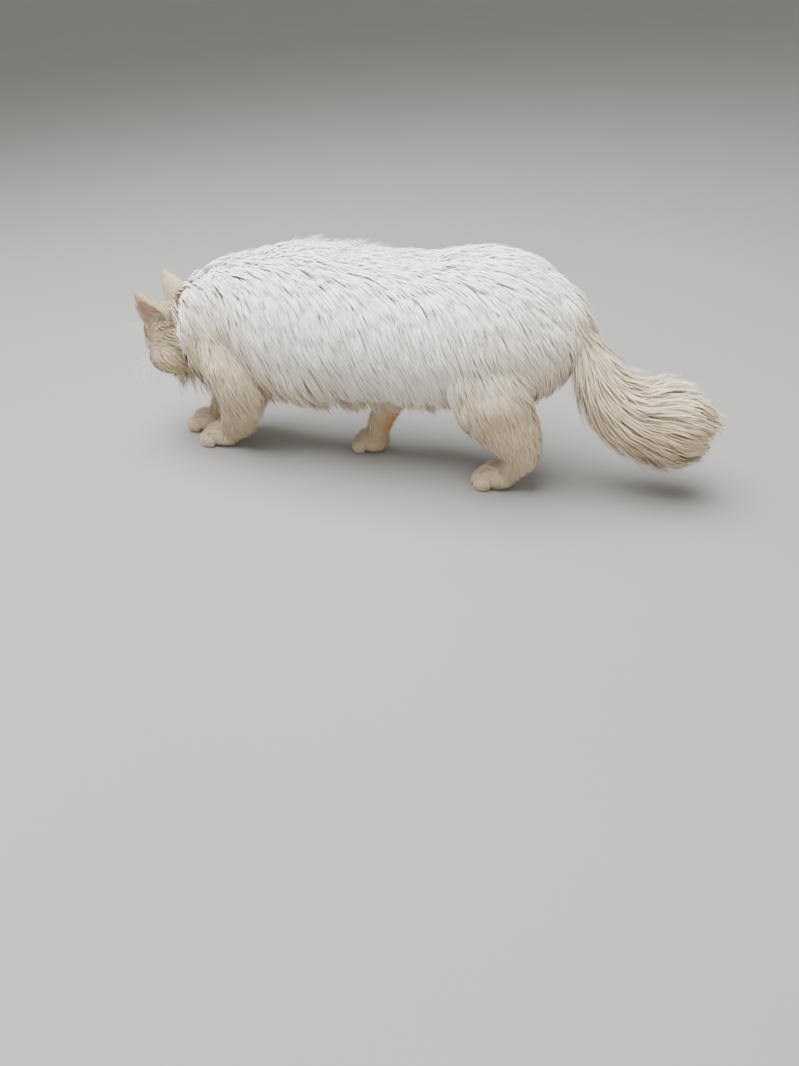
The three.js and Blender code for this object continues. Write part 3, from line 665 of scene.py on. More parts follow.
def fur_material(sizes):
    """White guard hair: scaly keratin that scatters light, so it is rough with a soft sheen."""
    made, tree = new_material("white_guard_hair")
    colour = put(tree, "ShaderNodeGroup", node_tree=coat_markings_and_shade(sizes)).outputs[0]
    along = put(tree, "Attribute", attribute_name="along").outputs["Fac"]
    strand = put(tree, "Attribute", attribute_name="strand").outputs["Fac"]
    root = put(tree, "MapRange", {0: along, 1: 0.45, 2: 0.0, 4: 0.5}, **EASED).outputs[0]
    colour = put(tree, "Mix", {0: root, 6: colour, 7: srgb(sizes.undercoat)}, **RGBA).outputs[2]
    # Each tuft has its own tone, up to 6 per cent darker.
    tone = put(tree, "MapRange", {0: strand, 3: 0.94}, **EASED).outputs[0]
    grey = put(tree, "CombineColor", {0: tone, 1: tone, 2: tone}).outputs[0]
    colour = put(tree, "Mix", {0: 1.0, 6: colour, 7: grey}, blend_type="MULTIPLY", **RGBA).outputs[2]
    inputs = {"Base Color": colour, "Roughness": 0.72, "Specular IOR Level": 0.25}
    finish_material(tree, {**inputs, "Sheen Weight": 0.25, "Sheen Roughness": 0.5})
    return made


def skin_material(sizes):
    """Skin under short fur: the coat's colours and painted shade, with a lie of hairs in the bump, and pink
    where it is bare.
    Real hairs are 0.05 mm thick. These are drawn 0.6 mm apart, so that they show."""
    made, tree = new_material("furred_skin")
    colour = put(tree, "ShaderNodeGroup", node_tree=coat_markings_and_shade(sizes)).outputs[0]
    colour = put(tree, "Mix", {0: 0.3, 6: colour, 7: srgb(sizes.undercoat)}, **RGBA).outputs[2]
    place = put(tree, "TexCoord").outputs["Object"]
    for layer, tone in (("bare", sizes.pink), ("rim", sizes.rim)):
        share = put(tree, "Attribute", attribute_name=layer).outputs["Fac"]
        colour = put(tree, "Mix", {0: share, 6: colour, 7: srgb(tone)}, **RGBA).outputs[2]
    stretched = put(tree, "Mapping", {0: place, "Scale": (1.0, 0.35, 1.0)}).outputs[0]
    hairs = put(tree, "TexNoise", {"Vector": stretched, "Scale": 1600.0, "Detail": 3.0}).outputs[0]
    bump = put(tree, "Bump", {"Height": hairs, "Strength": 0.5, "Distance": 0.0006}).outputs[0]
    inputs = {"Base Color": colour, "Roughness": 0.75, "Specular IOR Level": 0.3, "Normal": bump}
    finish_material(tree, inputs)
    return made


def nose_material(sizes):
    """Moist leather: pebbles about 0.5 mm across with a wet gloss, and a tone that runs over 5 mm."""
    made, tree = new_material("nose_leather")
    place = put(tree, "TexCoord").outputs["Object"]
    pebbles = put(tree, "TexVoronoi", {"Vector": place, "Scale": 1900.0}).outputs["Distance"]
    tone = put(tree, "TexNoise", {"Vector": place, "Scale": 220.0}).outputs[0]
    tone = put(tree, "MapRange", {0: tone, 1: 0.35, 2: 0.7}, **EASED).outputs[0]
    colour = put(tree, "Mix", {0: tone, 6: srgb(sizes.nose), 7: srgb("#b9766d")}, **RGBA).outputs[2]
    bump = put(tree, "Bump", {"Height": pebbles, "Strength": 0.5, "Distance": 0.0003}).outputs[0]
    inputs = {"Base Color": colour, "Roughness": 0.38, "Specular IOR Level": 0.5, "Normal": bump}
    finish_material(tree, inputs)
    return made


def eye_material(sizes):
    """Cornea over a copper iris. The piece's own map gives the angle round the eye and how far a point is
    from its middle, where 0.5 is the eye's widest ring."""
    made, tree = new_material("copper_eye")
    where = put(tree, "UVMap", uv_map="EyeMap").outputs[0]
    out = put(tree, "SeparateXYZ", {0: where}).outputs[1]
    # Fibres: about 90 round the iris.
    fine = put(tree, "Mapping", {0: where, "Scale": (90.0, 5.0, 1.0)}).outputs[0]
    fibres = put(tree, "TexNoise", {"Vector": fine, "Scale": 1.0, "Detail": 2.0}).outputs[0]
    fibres = put(tree, "MapRange", {0: fibres, 1: 0.35, 2: 0.65}, **EASED).outputs[0]
    colour = put(tree, "Mix", {0: fibres, 6: srgb(sizes.iris), 7: srgb("#d98f36")}, **RGBA).outputs[2]
    # From the iris's inner ring out: its own colour, the dark rim and the white.
    inner = put(tree, "MapRange", {0: out, 1: 0.2, 2: 0.33}, **EASED).outputs[0]
    colour = put(tree, "Mix", {0: inner, 6: srgb("#c9852c"), 7: colour}, **RGBA).outputs[2]
    for low, high, tone in ((0.37, 0.43, "#3a1c0a"), (0.43, 0.46, "#d9cbbf"), (0.185, 0.175, "#050403")):
        share = put(tree, "MapRange", {0: out, 1: low, 2: high}, **EASED).outputs[0]
        colour = put(tree, "Mix", {0: share, 6: colour, 7: srgb(tone)}, **RGBA).outputs[2]
    inputs = {"Base Color": colour, "Roughness": 0.25, "IOR": 1.376, "Specular IOR Level": 0.2}
    finish_material(tree, {**inputs, "Coat Weight": 0.6, "Coat Roughness": 0.02, "Coat IOR": 1.376})
    return made


def plain_material(name, colour, roughness):
    """A smooth grown part, such as a whisker or a claw, with a tone that runs over about 4 mm."""
    made, tree = new_material(name)
    place = put(tree, "TexCoord").outputs["Object"]
    tone = put(tree, "TexNoise", {"Vector": place, "Scale": 250.0}).outputs[0]
    tone = put(tree, "MapRange", {0: tone, 1: 0.3, 2: 0.7, 4: 0.5}, **EASED).outputs[0]
    base = srgb(colour)
    mix = put(tree, "Mix", {0: tone, 6: base, 7: darker(base, 0.8)}, **RGBA).outputs[2]
    finish_material(tree, {"Base Color": mix, "Roughness": roughness, "Specular IOR Level": 0.5})
    return made


def floor_material(colour):
    """Matt paint, with a cloudy tone that runs over about 0.3 m."""
    made, tree = new_material("matt_floor")
    place = put(tree, "TexCoord").outputs["Object"]
    grain = put(tree, "TexNoise", {"Vector": place, "Scale": 3.0, "Detail": 3.0}).outputs[0]
    base = srgb(colour)
    mix = put(tree, "Mix", {0: grain, 6: base, 7: darker(base, 0.93)}, **RGBA).outputs[2]
    finish_material(tree, {"Base Color": mix, "Roughness": 0.8, "Specular IOR Level": 0.3})
    return made


def material_of(sizes, kind):
    """Each finish is made once."""
    makers = {
        "white_guard_hair": fur_material,
        "furred_skin": skin_material,
        "nose_leather": nose_material,
        "copper_eye": eye_material,
        # Whiskers and claws are smooth keratin with a gloss, and pads are dry leathery skin.
        "whisker": lambda s: plain_material("whisker", "#f4f1ea", 0.35),
        "claw": lambda s: plain_material("claw", "#d9c4b0", 0.25),
        "paw_pad": lambda s: plain_material("paw_pad", "#c98f84", 0.6),
    }
    return bpy.data.materials.get(kind) or makers[kind](sizes)


# Settings that a user would change.
def number(name, description, default, **kind):
    return bpy.props.FloatProperty(name=name, description=description, default=default, **kind)


def tufts(name, description, default):
    return bpy.props.IntProperty(name=name, description=description, default=default, min=1000)


def colour(name, description, default):
    return bpy.props.StringProperty(name=name, description="sRGB hex of " + description, default=default)


class CatCoatSettings(bpy.types.PropertyGroup):
    long_tufts: tufts("Long tufts", "Tufts of the long coat", 46000)
    short_tufts: tufts("Short tufts", "Tufts of the face, ears and feet", 26000)
    lock_spacing: number("Lock spacing", "Distance between soft locks", 0.011, unit="LENGTH")
    tuft_width: number("Tuft width", "Widest part of a long tuft", 0.0024, unit="LENGTH")
    reach: number("Reach", "Length of a hair over the coat's depth", 2.5)
    gather: number("Gather", "How far hairs of a lock meet at its tip", 0.2, subtype="FACTOR", min=0, max=1)
    white: colour("White", "back and flanks", "#f8f6f0")
    # Cream is partly the coat's tint and partly painted shade, on the lower body, legs, tail and behind the
    # ruff.
    cream_and_shade: colour("Cream", "legs and tail", "#cdbd9f")
    # The face tone is partly a deeper cream and partly painted shade, laid on face and feet.
    face: colour("Face", "face and feet", "#b7a68a")
    undercoat: colour("Under-coat", "the roots", "#efe8dc")
    tan: colour("Tan", "the patch behind the hock", "#b98a50")
    # Height and leg reach of the cream, which is partly painted shade.
    cream_and_shade_below: number("Cream below", "Height where white turns cream", 0.135, unit="LENGTH")
    cream_and_shade_on_legs: number("Cream on legs", "How much higher cream reaches on the legs", 0.07, unit="LENGTH")
    pink: colour("Pink", "bare skin", "#c9a08c")
    rim: colour("Rim", "lid rims and lips", "#7d5248")
    nose: colour("Nose", "the nose leather", "#c68a80")
    iris: colour("Iris", "the iris", "#9a5518")


class CatStageSettings(bpy.types.PropertyGroup):
    floor_size: number("Floor", "Side of the floor", 44.0, unit="LENGTH")
    floor_colour: colour("Floor colour", "the floor", "#8f8e8b")
    key_power: number("Key light", "Power of the overhead light", 148.0, unit="POWER")
    fill_power: number("Fill light", "Power of the side light", 14.0, unit="POWER")


def coat():
    return bpy.context.scene.cat_coat


# Skin.
def paw_frame(name):
    """A paw's turn and length, and what sets a place of its own frame in the cat's."""
    (x, y), turn, long = STANCE[name]
    spin = turn_about("Z", turn)
    return spin, long, lambda p: np.array([p[0], p[1] * long, p[2]]) @ spin.T + (x, y, 0)


def toes(ahead, height):
    """Four places at a height, a little ahead of the toes' middles, in a paw's own frame."""
    for k in range(4):
        side = k - 1.5
        outer = TOE["outer_back"] if abs(side) > 1 else 0
        yield side * TOE["spread"], outer - TOE["reach"] - ahead, height


def level_soles(points):
    """Presses what lies under the floor flat on it."""
    flat = points.copy()
    flat[:, 2] = np.maximum(points[:, 2], (0.4 - 0.05 * np.minimum(points[:, 2], 0)))
    return flat


def paws_shell():
    """Palms and toes, drawn in by the depth of their fur."""
    parts = []
    for name in STANCE:
        spin, long, place = paw_frame(name)
        radii = lambda r: np.array([r[0] - PAW_FUR, r[1] * long - PAW_FUR, r[2] - PAW_FUR])
        parts.append(ball(place(PALM["at"]), radii(PALM["radii"]), spin))
        parts += [ball(place(p), radii(TOE["radii"]), spin, 24, 16) for p in toes(0, TOE["height"])]
    parts = [(level_soles(points), faces) for points, faces in parts]
    return rounded(solid("paws", together(parts)), "paws")


def mouth_lines():
    """The mouth's line: down from the nose, then out under each whisker pad, in the head's frame."""
    split, (pad_x, pad_z) = MOUTH["split"], MOUTH["pad"]
    on_face = lambda x, z: head_skin(unit(np.array([[x, -42.0, z]])))[0]
    lines = [np.array([on_face(0, z) for z in np.linspace(-12.5, split, 8)])]
    stops = [(0.4, split + 0.4), (pad_x / 2, pad_z + 0.6), MOUTH["pad"], MOUTH["corner"]]
    rows, _ = spline(np.array(stops, float), np.linspace(0, 1, 24))
    for side in (1, -1):
        lines.append(np.array([on_face(side * x, z) for x, z in rows]))
    return lines


def rope(points, radius, around=10):
    """A closed tube along points."""
    ahead = unit(np.gradient(points, axis=0))
    side = unit(np.cross(ahead, (0.13, 0.2, 1.0)))
    up = np.cross(side, ahead)
    angle = np.arange(around) * 2 * math.pi / around
    ring = np.cos(angle)[None, :, None] * side[:, None] + np.sin(angle)[None, :, None] * up[:, None]
    rows = points[:, None] + ring * radius
    ends = [points[0] - ahead[0] * radius * 0.5, points[-1] + ahead[-1] * radius * 0.5]
    return np.vstack([rows.reshape(-1, 3), ends]), tube_faces(len(points), around)


def head_shell():
    """Skull, muzzle, lids and ears, cut open at eyes, mouth and ear cups."""
    around, rings = 230, 170
    # Rings lie closer together on the face.
    way = ways_round(math.pi * ((np.arange(rings) + 0.5) / rings) ** 1.2, around)
    made = solid("head", (from_head(head_skin(way)), tube_faces(rings, around)))
    for side in (1, -1):
        lids = ball(from_head(eye_at(side)), np.full(3, EYEBALL["radius"] + EYEBALL["lid"]))
        combine(made, solid("lids", lids), "UNION")
        ear = solid("ear", EARS[side].shell(0.0, 60, 48))
        carve(ear, CUPS[side].shell(0.0, 60, 48))
        combine(made, ear, "UNION")
    for side in (1, -1):
        carve(made, ball(from_head(eye_at(side)), np.full(3, EYEBALL["radius"] + EYEBALL["gap"])))
        ahead = eye_turn(side) @ np.array(OPENING["ahead"])
        opening = ball(from_head(eye_at(side) + ahead), OPENING["radii"], HEAD_TURN @ eye_turn(side))
        carve(made, opening)
    for line in mouth_lines():
        points, faces = rope(line, MOUTH["radius"])
        carve(made, (from_head(points), faces))
    return rounded(made, "head")


def head_marks(points):
    """How bare the skin is, and how much it is a rim, for each point of the skin."""
    bare, rim = np.zeros(len(points)), np.zeros(len(points))
    own = to_head(points)
    near = np.linalg.norm(own, axis=1) < 100
    for side in (1, -1):
        in_cup = CUPS[side].read(points[near])[2]
        up_ear = EARS[side].read(points[near])[0]
        inside = smooth(1.16 - in_cup, 0.0, 0.1) * smooth(up_ear, 0.12, 0.28)
        bare[near] = np.maximum(bare[near], inside)
        far, facing = from_eye(side, own[near])
        lid = smooth(facing, 0.3, 0.62) * smooth(EYEBALL["radius"] + EYEBALL["rim"] - far, 0, 0.9)
        rim[near] = np.maximum(rim[near], lid)
    for line in mouth_lines():
        far = np.linalg.norm(own[near][:, None] - line[None], axis=2).min(1)
        rim[near] = np.maximum(rim[near], 0.8 * smooth(far, 2.0, 0.9))
    return bare, rim


TAIL_NODES = ["tail_base", "tail_middle", "tail_plume"]
FLESH = ["head", "ear_left", "ear_right", "torso", "neck", *TAIL_NODES, *STANCE, *LEGS]


class CAT_OT_skin(bpy.types.Operator):
    """Makes one skin for head, body, legs and tail"""

    bl_idname = "cat.skin"
    bl_label = "Skin"

    def execute(self, context):
        made = rounded(solid("skin", together([limb.shell() for limb in LIMBS.values()])), "trunk")
        combine(made, paws_shell(), "UNION")
        combine(made, head_shell(), "UNION")
        made.data.name = "skin"
        points, _ = arrays(made.data)
        for layer, values in zip(("bare", "rim"), head_marks(points / MM - SHIFT)):
            mark(made.data, layer, values)
        dress(made, "furred_skin")
        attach(made, "root")
        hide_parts(*FLESH)
        return {"FINISHED"}


# The lie and depth of the coat over the skin.
NOSE_TIP = np.array([0.0, -34.0, -8.0])
HEAD_ZONE = len(LIMBS) + len(STANCE)
HANG = np.array([0, 0.12, -1.0])
# What a form weighs against a limb where they overlap, and how far its coat mixes with its neighbours': as
# a share of a limb's or paw's thickness, and in mm on the head.
WEIGHT = {"paw": 1.6, "head": 2.5, "ear": 4}
BLEND = {"limb": 0.13, "paw": 0.2, "head": 5}
# Room left at the edge of a rectangle of the unwrap, and a stretch of it that only a seam explains.
CHART_MARGIN, TORN = 0.02, 0.05
# Depth of the fur on an ear.
EAR_FUR = 2.1


def faded(out, reach):
    """1 inside a form and less and less outside it."""
    return np.exp(-((np.maximum(out, 0) / reach) ** 2))


class Field:
    """For each point of the skin: its normal, the coat's lie and depth, how bare it is and how much a rim,
    how far it looks down, the form it belongs to, its place along that form, how much the coat widens from
    skin to tips, and its place on the skin's unwrap."""

    def __init__(self, skin):
        points, self.tris = arrays(skin.data)
        self.points = points / MM - SHIFT
        normals = np.empty(len(points) * 3)
        skin.data.vertices.foreach_get("normal", normals)
        self.normals = normals.reshape(-1, 3)
        self.bare, self.rim = (self.stored(skin, name) for name in ("bare", "rim"))
        self.down = smooth(-self.normals[:, 2], 0.05, 0.6)
        count = len(points)
        self.total, self.best = np.full(count, 1e-6), np.zeros(count)
        self.lie, self.depth = np.zeros((count, 3)), np.zeros(count)
        self.zone, self.fan = np.zeros(count, int), np.ones(count)
        self.at, self.uv = np.zeros((count, 2)), np.zeros((count, 2))
        self.add_limbs()
        self.add_paws()
        self.add_head()
        self.add_ears()
        self.depth /= self.total
        self.lie = flatten(self.lie, self.normals)
        self.tree = tree_of(self.points)

    def stored(self, skin, name):
        values = np.empty(len(self.points), np.float32)
        skin.data.attributes[name].data.foreach_get("value", values)
        return values

    def add(self, index, weight, way, deep, t, angle):
        """Mixes in one form's lie and depth. The form that weighs most gives zone, fan and unwrap."""
        self.total += weight
        self.lie += way * weight[:, None]
        self.depth += deep * weight
        here = weight > self.best
        self.best[here] = weight[here]
        self.zone[here] = index
        if index < len(LIMBS):
            self.fan[here] = list(LIMBS.values())[index].fan(t)[here]
        self.at[here] = np.stack([t, angle], 1)[here]
        u, v, wide, high = CHARTS[index]
        inner = 1 - 2 * CHART_MARGIN
        self.uv[here, 0] = (u + wide * (CHART_MARGIN + inner * t))[here]
        self.uv[here, 1] = (v + high * (CHART_MARGIN + inner * (angle / (2 * math.pi) % 1)))[here]

    def add_limbs(self):
        p, n, down = self.points, self.normals, self.down
        top = smooth(n[:, 2], 0.3, 0.95)
        for index, (name, limb) in enumerate(LIMBS.items()):
            t, angle, out, deep, ahead = limb.read(p)
            weight = faded(out - 1, BLEND["limb"])
            if name == "neck":
                # The ruff ends in a crest behind the cheeks, and is longer under the throat.
                deep = deep * (1 - 0.8 * smooth(t, 0.66, 0.94) * smooth(n[:, 2], -0.65, -0.2))
                deep = deep + 6 * smooth(-n[:, 2], 0.3, 0.75) * smooth(t, 0.3, 0.6)
            if name == "torso":
                # The belly's fringe is longer behind the elbows than before the thighs.
                deep = deep * (1 + down * (0.25 - 0.6 * smooth(p[:, 1], -70, 50)))
            if name == "tail":
                way = unit(ahead - UP * 0.25)
            elif name in ("torso", "neck"):
                way = unit(limb.lie + (HANG - limb.lie) * down[:, None] + BACK * 1.6 * top[:, None])
            else:
                way = np.broadcast_to(unit(limb.lie), p.shape)
            self.add(index, weight, way, deep, t, angle)

    def add_paws(self):
        p = self.points
        for index, ((x, y), _, long) in enumerate(STANCE.values(), len(LIMBS)):
            ahead, height = PAW_FORM["at"]
            off = p - (x, y + ahead, height)
            out = np.linalg.norm(off / (np.array(PAW_FORM["radii"]) * (1, long, 1)), axis=1)
            weight = WEIGHT["paw"] * faded(out - 1, BLEND["paw"])
            way = np.broadcast_to(unit(np.array([0, -1.0, -0.7])), p.shape)
            deep = 1.9 + 3.2 * smooth(p[:, 2], 13, 27)
            t = np.clip((off[:, 1] + 30) / 60, 0, 1)
            self.add(index, weight, way, deep, t, np.arctan2(off[:, 2], off[:, 0]))

    def add_head(self):
        """Fur runs from the nose outwards, stands out at the cheeks and hangs under the chin."""
        own = to_head(self.points)
        way_out = unit(own)
        fur = fur_on_head(way_out)
        out = head_distance(own, np.zeros(len(own))) + fur
        weight = WEIGHT["head"] * faded(out, BLEND["head"]) * smooth(own[:, 1], 30, 10)
        sweep = unit(own - NOSE_TIP) @ HEAD_TURN.T
        chin = smooth(-own[:, 2], 18, 34) * smooth(-own[:, 1], 10, 26)
        sweep = unit(sweep + np.array([0, 0.2, -0.45]) * (1 - chin[:, None]) - UP * chin[:, None] * 1.5)
        flare = smooth(own[:, 1], -26, 4) * smooth(np.abs(own[:, 0]) - own[:, 2], 6, 38)
        beard = smooth(-own[:, 2], 16, 30) * smooth(own[:, 1], -32, -12)
        sweep = unit(sweep + (BACK * 0.9 - UP * 0.6) * 1.6 * beard[:, None])
        t = np.arccos(np.clip(way_out[:, 1], -1, 1)) / math.pi
        deep = fur + 0.6 + 6.5 * flare + 2.5 * beard
        self.add(HEAD_ZONE, weight, sweep, deep, t, np.arctan2(way_out[:, 2], way_out[:, 0]))

    def add_ears(self):
        for index, ear in enumerate(EARS.values(), HEAD_ZONE + 1):
            t, angle, out, _, ahead = ear.read(self.points)
            weight = WEIGHT["ear"] * smooth(1.35 - out, 0, 0.25) * smooth(t, 0.05, 0.16)
            self.add(index, weight, unit(ahead), np.full(len(out), EAR_FUR), t, angle)


@functools.cache
def the_field():
    return Field(bpy.data.objects["skin"])


# Rectangles of the unwrap, one for each limb, paw, the head and each ear: left, bottom, width, height.
CHARTS = [
    (0.0, 0.0, 0.46, 0.5),
    (0.46, 0.0, 0.18, 0.5),
    (0.64, 0.0, 0.36, 0.3),
    (0.64, 0.3, 0.12, 0.2),
    (0.76, 0.3, 0.12, 0.2),
    (0.88, 0.3, 0.12, 0.2),
    (0.0, 0.5, 0.14, 0.2),
    (0.14, 0.5, 0.12, 0.2),
    (0.26, 0.5, 0.12, 0.2),
    (0.38, 0.5, 0.12, 0.12),
    (0.5, 0.5, 0.12, 0.12),
    (0.62, 0.5, 0.12, 0.12),
    (0.74, 0.5, 0.12, 0.12),
    (0.38, 0.62, 0.4, 0.38),
    (0.0, 0.7, 0.19, 0.3),
    (0.19, 0.7, 0.19, 0.3),
]


class Roots:
    """Scattered places on the skin, each in a triangle. density weighs each point of the skin."""

    def __init__(self, field, density, count, rng):
        a, b, c = (field.points[field.tris[:, k]] for k in range(3))
        area = np.linalg.norm(np.cross(b - a, c - a), axis=1) / 2
        weight = np.cumsum(area * (density + 1e-9)[field.tris].mean(1))
        tri = np.searchsorted(weight, rng.random(count) * weight[-1])
        tri = np.minimum(tri, len(weight) - 1)
        s, t = np.sqrt(rng.random(count)), rng.random(count)
        self.corners, self.share = field.tris[tri], np.stack([1 - s, s * (1 - t), s * t], 1)
        self.first = self.corners[:, 0]
        self.places, self.depth = self.read(field.points), self.read(field.depth)
        self.normal = unit(self.read(field.normals))
        self.lie = flatten(self.read(field.lie), self.normal)

    def read(self, values):
        """A value of the field at each place."""
        rows = values[self.corners]
        return (rows * (self.share[..., None] if rows.ndim == 3 else self.share)).sum(1)


def thinned(points, gap):
    """Indices of points that keep a gap from one another, in order."""
    cells, kept = {}, []
    key = np.floor(points / gap.max()).astype(int)
    beside = [(x, y, z) for x in (-1, 0, 1) for y in (-1, 0, 1) for z in (-1, 0, 1)]
    for i, (p, k) in enumerate(zip(points, map(tuple, key))):
        near = (j for x, y, z in beside for j in cells.get((k[0] + x, k[1] + y, k[2] + z), ()))
        if all(((points[j] - p) ** 2).sum() > gap[i] ** 2 for j in near):
            cells.setdefault(k, []).append(i)
            kept.append(i)
    return np.array(kept)


def leaned(lie, normal, angle):
    """A lie turned on the skin by an angle for each place."""
    return lie * np.cos(angle) + np.cross(normal, lie) * np.sin(angle)


TAIL_ZONE = list(LIMBS).index("tail")
# Points along a lock after its root, and places tried for locks.
STEPS = 8
LOCK_TRIES = 26000
LONGEST_LOCK, SHORTEST_TAIL_LOCK = 66, 21
BIB_EXTRA = 10


class Locks:
    """Guide lines of soft locks: each runs over the skin along the lie, rises to the coat's tips, and hangs
    free where the coat does."""

    def __init__(self, field, settings, rng):
        long = smooth(field.depth, 5.5, 8.5) * (1 - field.bare)
        tries = Roots(field, long, LOCK_TRIES, rng)
        gap = settings.lock_spacing / MM * np.clip(tries.depth / 20, 0.55, 1.15)
        kept = thinned(tries.places, gap / tries.read(field.fan) ** 0.6)
        self.roots, self.down = tries.places[kept], tries.read(field.down)[kept]
        self.zone, self.at = field.zone[tries.first[kept]], field.at[tries.first[kept]]
        self.grow(field, settings, rng, tries.depth[kept], tries.normal[kept], tries.lie[kept])
        self.tree = tree_of(self.roots)

    def grow(self, field, settings, rng, depth, normal, lie):
        count = len(self.roots)
        length = np.minimum(settings.reach * depth * rng.uniform(0.85, 1.15, count), LONGEST_LOCK)
        on_tail = np.flatnonzero(self.zone == TAIL_ZONE)
        t, angle = self.at[on_tail].T
        ends = TAIL.left(t) * rng.uniform(0.9, 1.15, len(on_tail))
        length[on_tail] = np.minimum(length[on_tail], np.maximum(ends, SHORTEST_TAIL_LOCK))
        # Locks lean off the lie in broad waves, about 45 and 90 mm long, so that they part and cross softly.
        lean = 11 * drifting(self.roots, 90, 5) + 6 * drifting(self.roots, 42, 6) + rng.normal(0, 4, count)
        lean = np.radians(lean)[:, None]
        lie = leaned(lie, normal, lean)
        inward = (0.3 + 0.7 * rng.random(len(on_tail)) ** 1.5) * smooth(t, 0.55, 0.85)
        cling = 1 - 0.65 * self.down
        rise = 0.9 + 0.09 * drifting(self.roots, 48, 7) + rng.uniform(-0.06, 0.03, count)
        # The bib hangs from the throat.
        bib = self.down * smooth(-self.roots[:, 1], 120, 165)
        length = length + BIB_EXTRA * bib
        hanging = unit(lie + np.array([0, 0, -0.4]) + bib[:, None] * np.array([0, -0.6, -1.0]))
        # Tips dip between their neighbours, most on back and flanks, which closes the coat.
        tuck = 0.12 + 0.2 * smooth(normal[:, 2], 0.1, 0.7)
        self.places = np.zeros((STEPS + 1, count, 3))
        self.out = np.zeros_like(self.places)
        base, way, out, deep = self.roots, lie, normal, depth
        for k in range(STEPS + 1):
            s = k / STEPS
            profile = risen(s)
            up = (deep * rise * profile * (1 - tuck * smooth(s, 0.55, 1.0)))[:, None]
            free = self.roots + normal * up * 0.9 + (lie + (hanging - lie) * s) * (length * s)[:, None]
            hold = np.maximum(cling, 1 - s)[:, None]
            self.places[k] = (base + out * up) * hold + free * (1 - hold)
            self.out[k] = unit(out * hold + normal * (1 - hold))
            # The tail's locks run along its spine and fan out to its plume, whose end some of them fill.
            run, round_ = length[on_tail] * s * 1.1, angle + lean[on_tail, 0] * s
            share = 1 - profile * rise[on_tail] * (1 - 0.7 * inward * s)
            here = TAIL.run(t, round_, run, share)
            if k == 0:
                middle = (self.roots[on_tail] - here) * smooth(t, 0.85, 0.97)[:, None]
            self.places[k, on_tail] = here + middle
            self.out[k, on_tail] = unit(here - TAIL.run(t, round_, run, share + 0.15))
            # The lock's next point on the skin.
            moved = base + way * (length / STEPS)[:, None]
            found = nearest(field.tree, moved)
            out_new = unit(field.normals[found])
            base = moved - out_new * dot(moved - field.points[found], out_new)
            way = flatten(way * 1.6 + field.lie[found], out_new)
            out = unit(out + out_new)
            deep = deep * 0.6 + field.depth[found] * 0.4
        keep_above(self.places, 1.5)
        self.ahead = unit(np.gradient(self.places, axis=0))
        self.side = unit(np.cross(self.ahead, self.out))
        self.out = np.cross(self.side, self.ahead)
        self.height = deep * rise


# Kinds of tuft: points along it, its thickness over its width, how far the light on it is rounded, and the
# most in one piece.
LONG = {"steps": 5, "thin": 0.28, "soft": 0.32, "most": 8800}
SHORT = {"steps": 4, "thin": 0.25, "soft": 0.3, "most": 12000}
EAR_HAIR = {"steps": 4, "thin": 0.3, "soft": 0.4}
# Each tuft takes a patch this wide on the unwrap, at its root's place on the unwrap of the skin.
PATCH = 0.003


def strand_mesh(name, kind, paths, width, uv, tone):
    """One mesh of flat, tapered tufts. paths holds their places, their ways aside and their ways out, each
    steps by tufts by 3 in the design's frame."""
    rows, side, out = paths
    steps, count, _ = rows.shape
    s = np.linspace(0, 1, steps)
    wide = (0.5 + 0.5 * np.sin(np.pi * np.minimum(s * 1.25, 1) * 0.72 + 0.3)) * (1 - s**3)
    half = wide[:, None, None] * (width / 2)[None, :, None]
    ridge = (wide * (1 - 0.5 * s))[:, None, None] * (kind["thin"] * width)[None, :, None]
    per = 3 * (steps - 1) + 1

    def by_tuft(left, right, top, tip):
        """Three rows along each tuft and its tip, tuft by tuft."""
        body = np.stack([left, right, top], 2)[:-1].transpose(1, 0, 2, 3).reshape(count, -1, 3)
        return np.concatenate([body, tip[:, None]], 1)

    points = by_tuft(rows - side * half, rows + side * half, rows + out * ridge, rows[-1])
    # The face towards the skin has its own normals, and the other two share soft ones.
    left, right = unit(out - side * kind["soft"]), unit(out + side * kind["soft"])
    over = by_tuft(left, right, unit(out), out[-1])
    under = -by_tuft(out, out, out, out[-1])
    faces, lower = [], []
    for a in range(0, 3 * (steps - 2), 3):
        for i, j in ((0, 1), (1, 2), (2, 0)):
            faces += [(a + j, a + i, a + 3 + i), (a + j, a + 3 + i, a + 3 + j)]
            lower += [i == 0, i == 0]
    a = 3 * (steps - 2)
    for i, j in ((0, 1), (1, 2), (2, 0)):
        faces.append((a + j, a + i, per - 1))
        lower.append(i == 0)
    faces, lower = np.array([*faces, (0, 1, 2)]), np.array([*lower, True])
    shown = np.where(lower[None, :, None, None], under[:, faces], over[:, faces]).reshape(-1, 3)
    tris = (faces[None] + (np.arange(count) * per)[:, None, None]).reshape(-1, 3)
    mesh = bpy.data.meshes.new(name)
    mesh.vertices.add(count * per)
    mesh.vertices.foreach_set("co", to_row(points.reshape(-1, 3)).ravel().astype(np.float32))
    mesh.loops.add(len(tris) * 3)
    mesh.loops.foreach_set("vertex_index", tris.ravel().astype(np.int32))
    mesh.polygons.add(len(tris))
    mesh.polygons.foreach_set("loop_start", np.arange(0, len(tris) * 3, 3, dtype=np.int32))
    mesh.update(calc_edges=True)
    shade_smooth(mesh)
    along = np.append(np.repeat(s[:-1], 3), 1.0)
    mark(mesh, "along", np.tile(along, count))
    mark(mesh, "strand", np.repeat(tone, per))
    patch = np.stack([np.append(np.tile([0.0, 1.0, 0.5], steps - 1), 0.5), along], 1) * PATCH
    spots = (uv[:, None] + patch[None]).reshape(-1, 2)
    layer = mesh.uv_layers.new(name="OFBake")
    layer.data.foreach_set("uv", spots[tris.ravel()].ravel().astype(np.float32))
    mesh.normals_split_custom_set(shown.tolist())
    return placed(name, mesh)


def finish_coat(made):
    dress(made, "white_guard_hair")
    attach(made, "root")


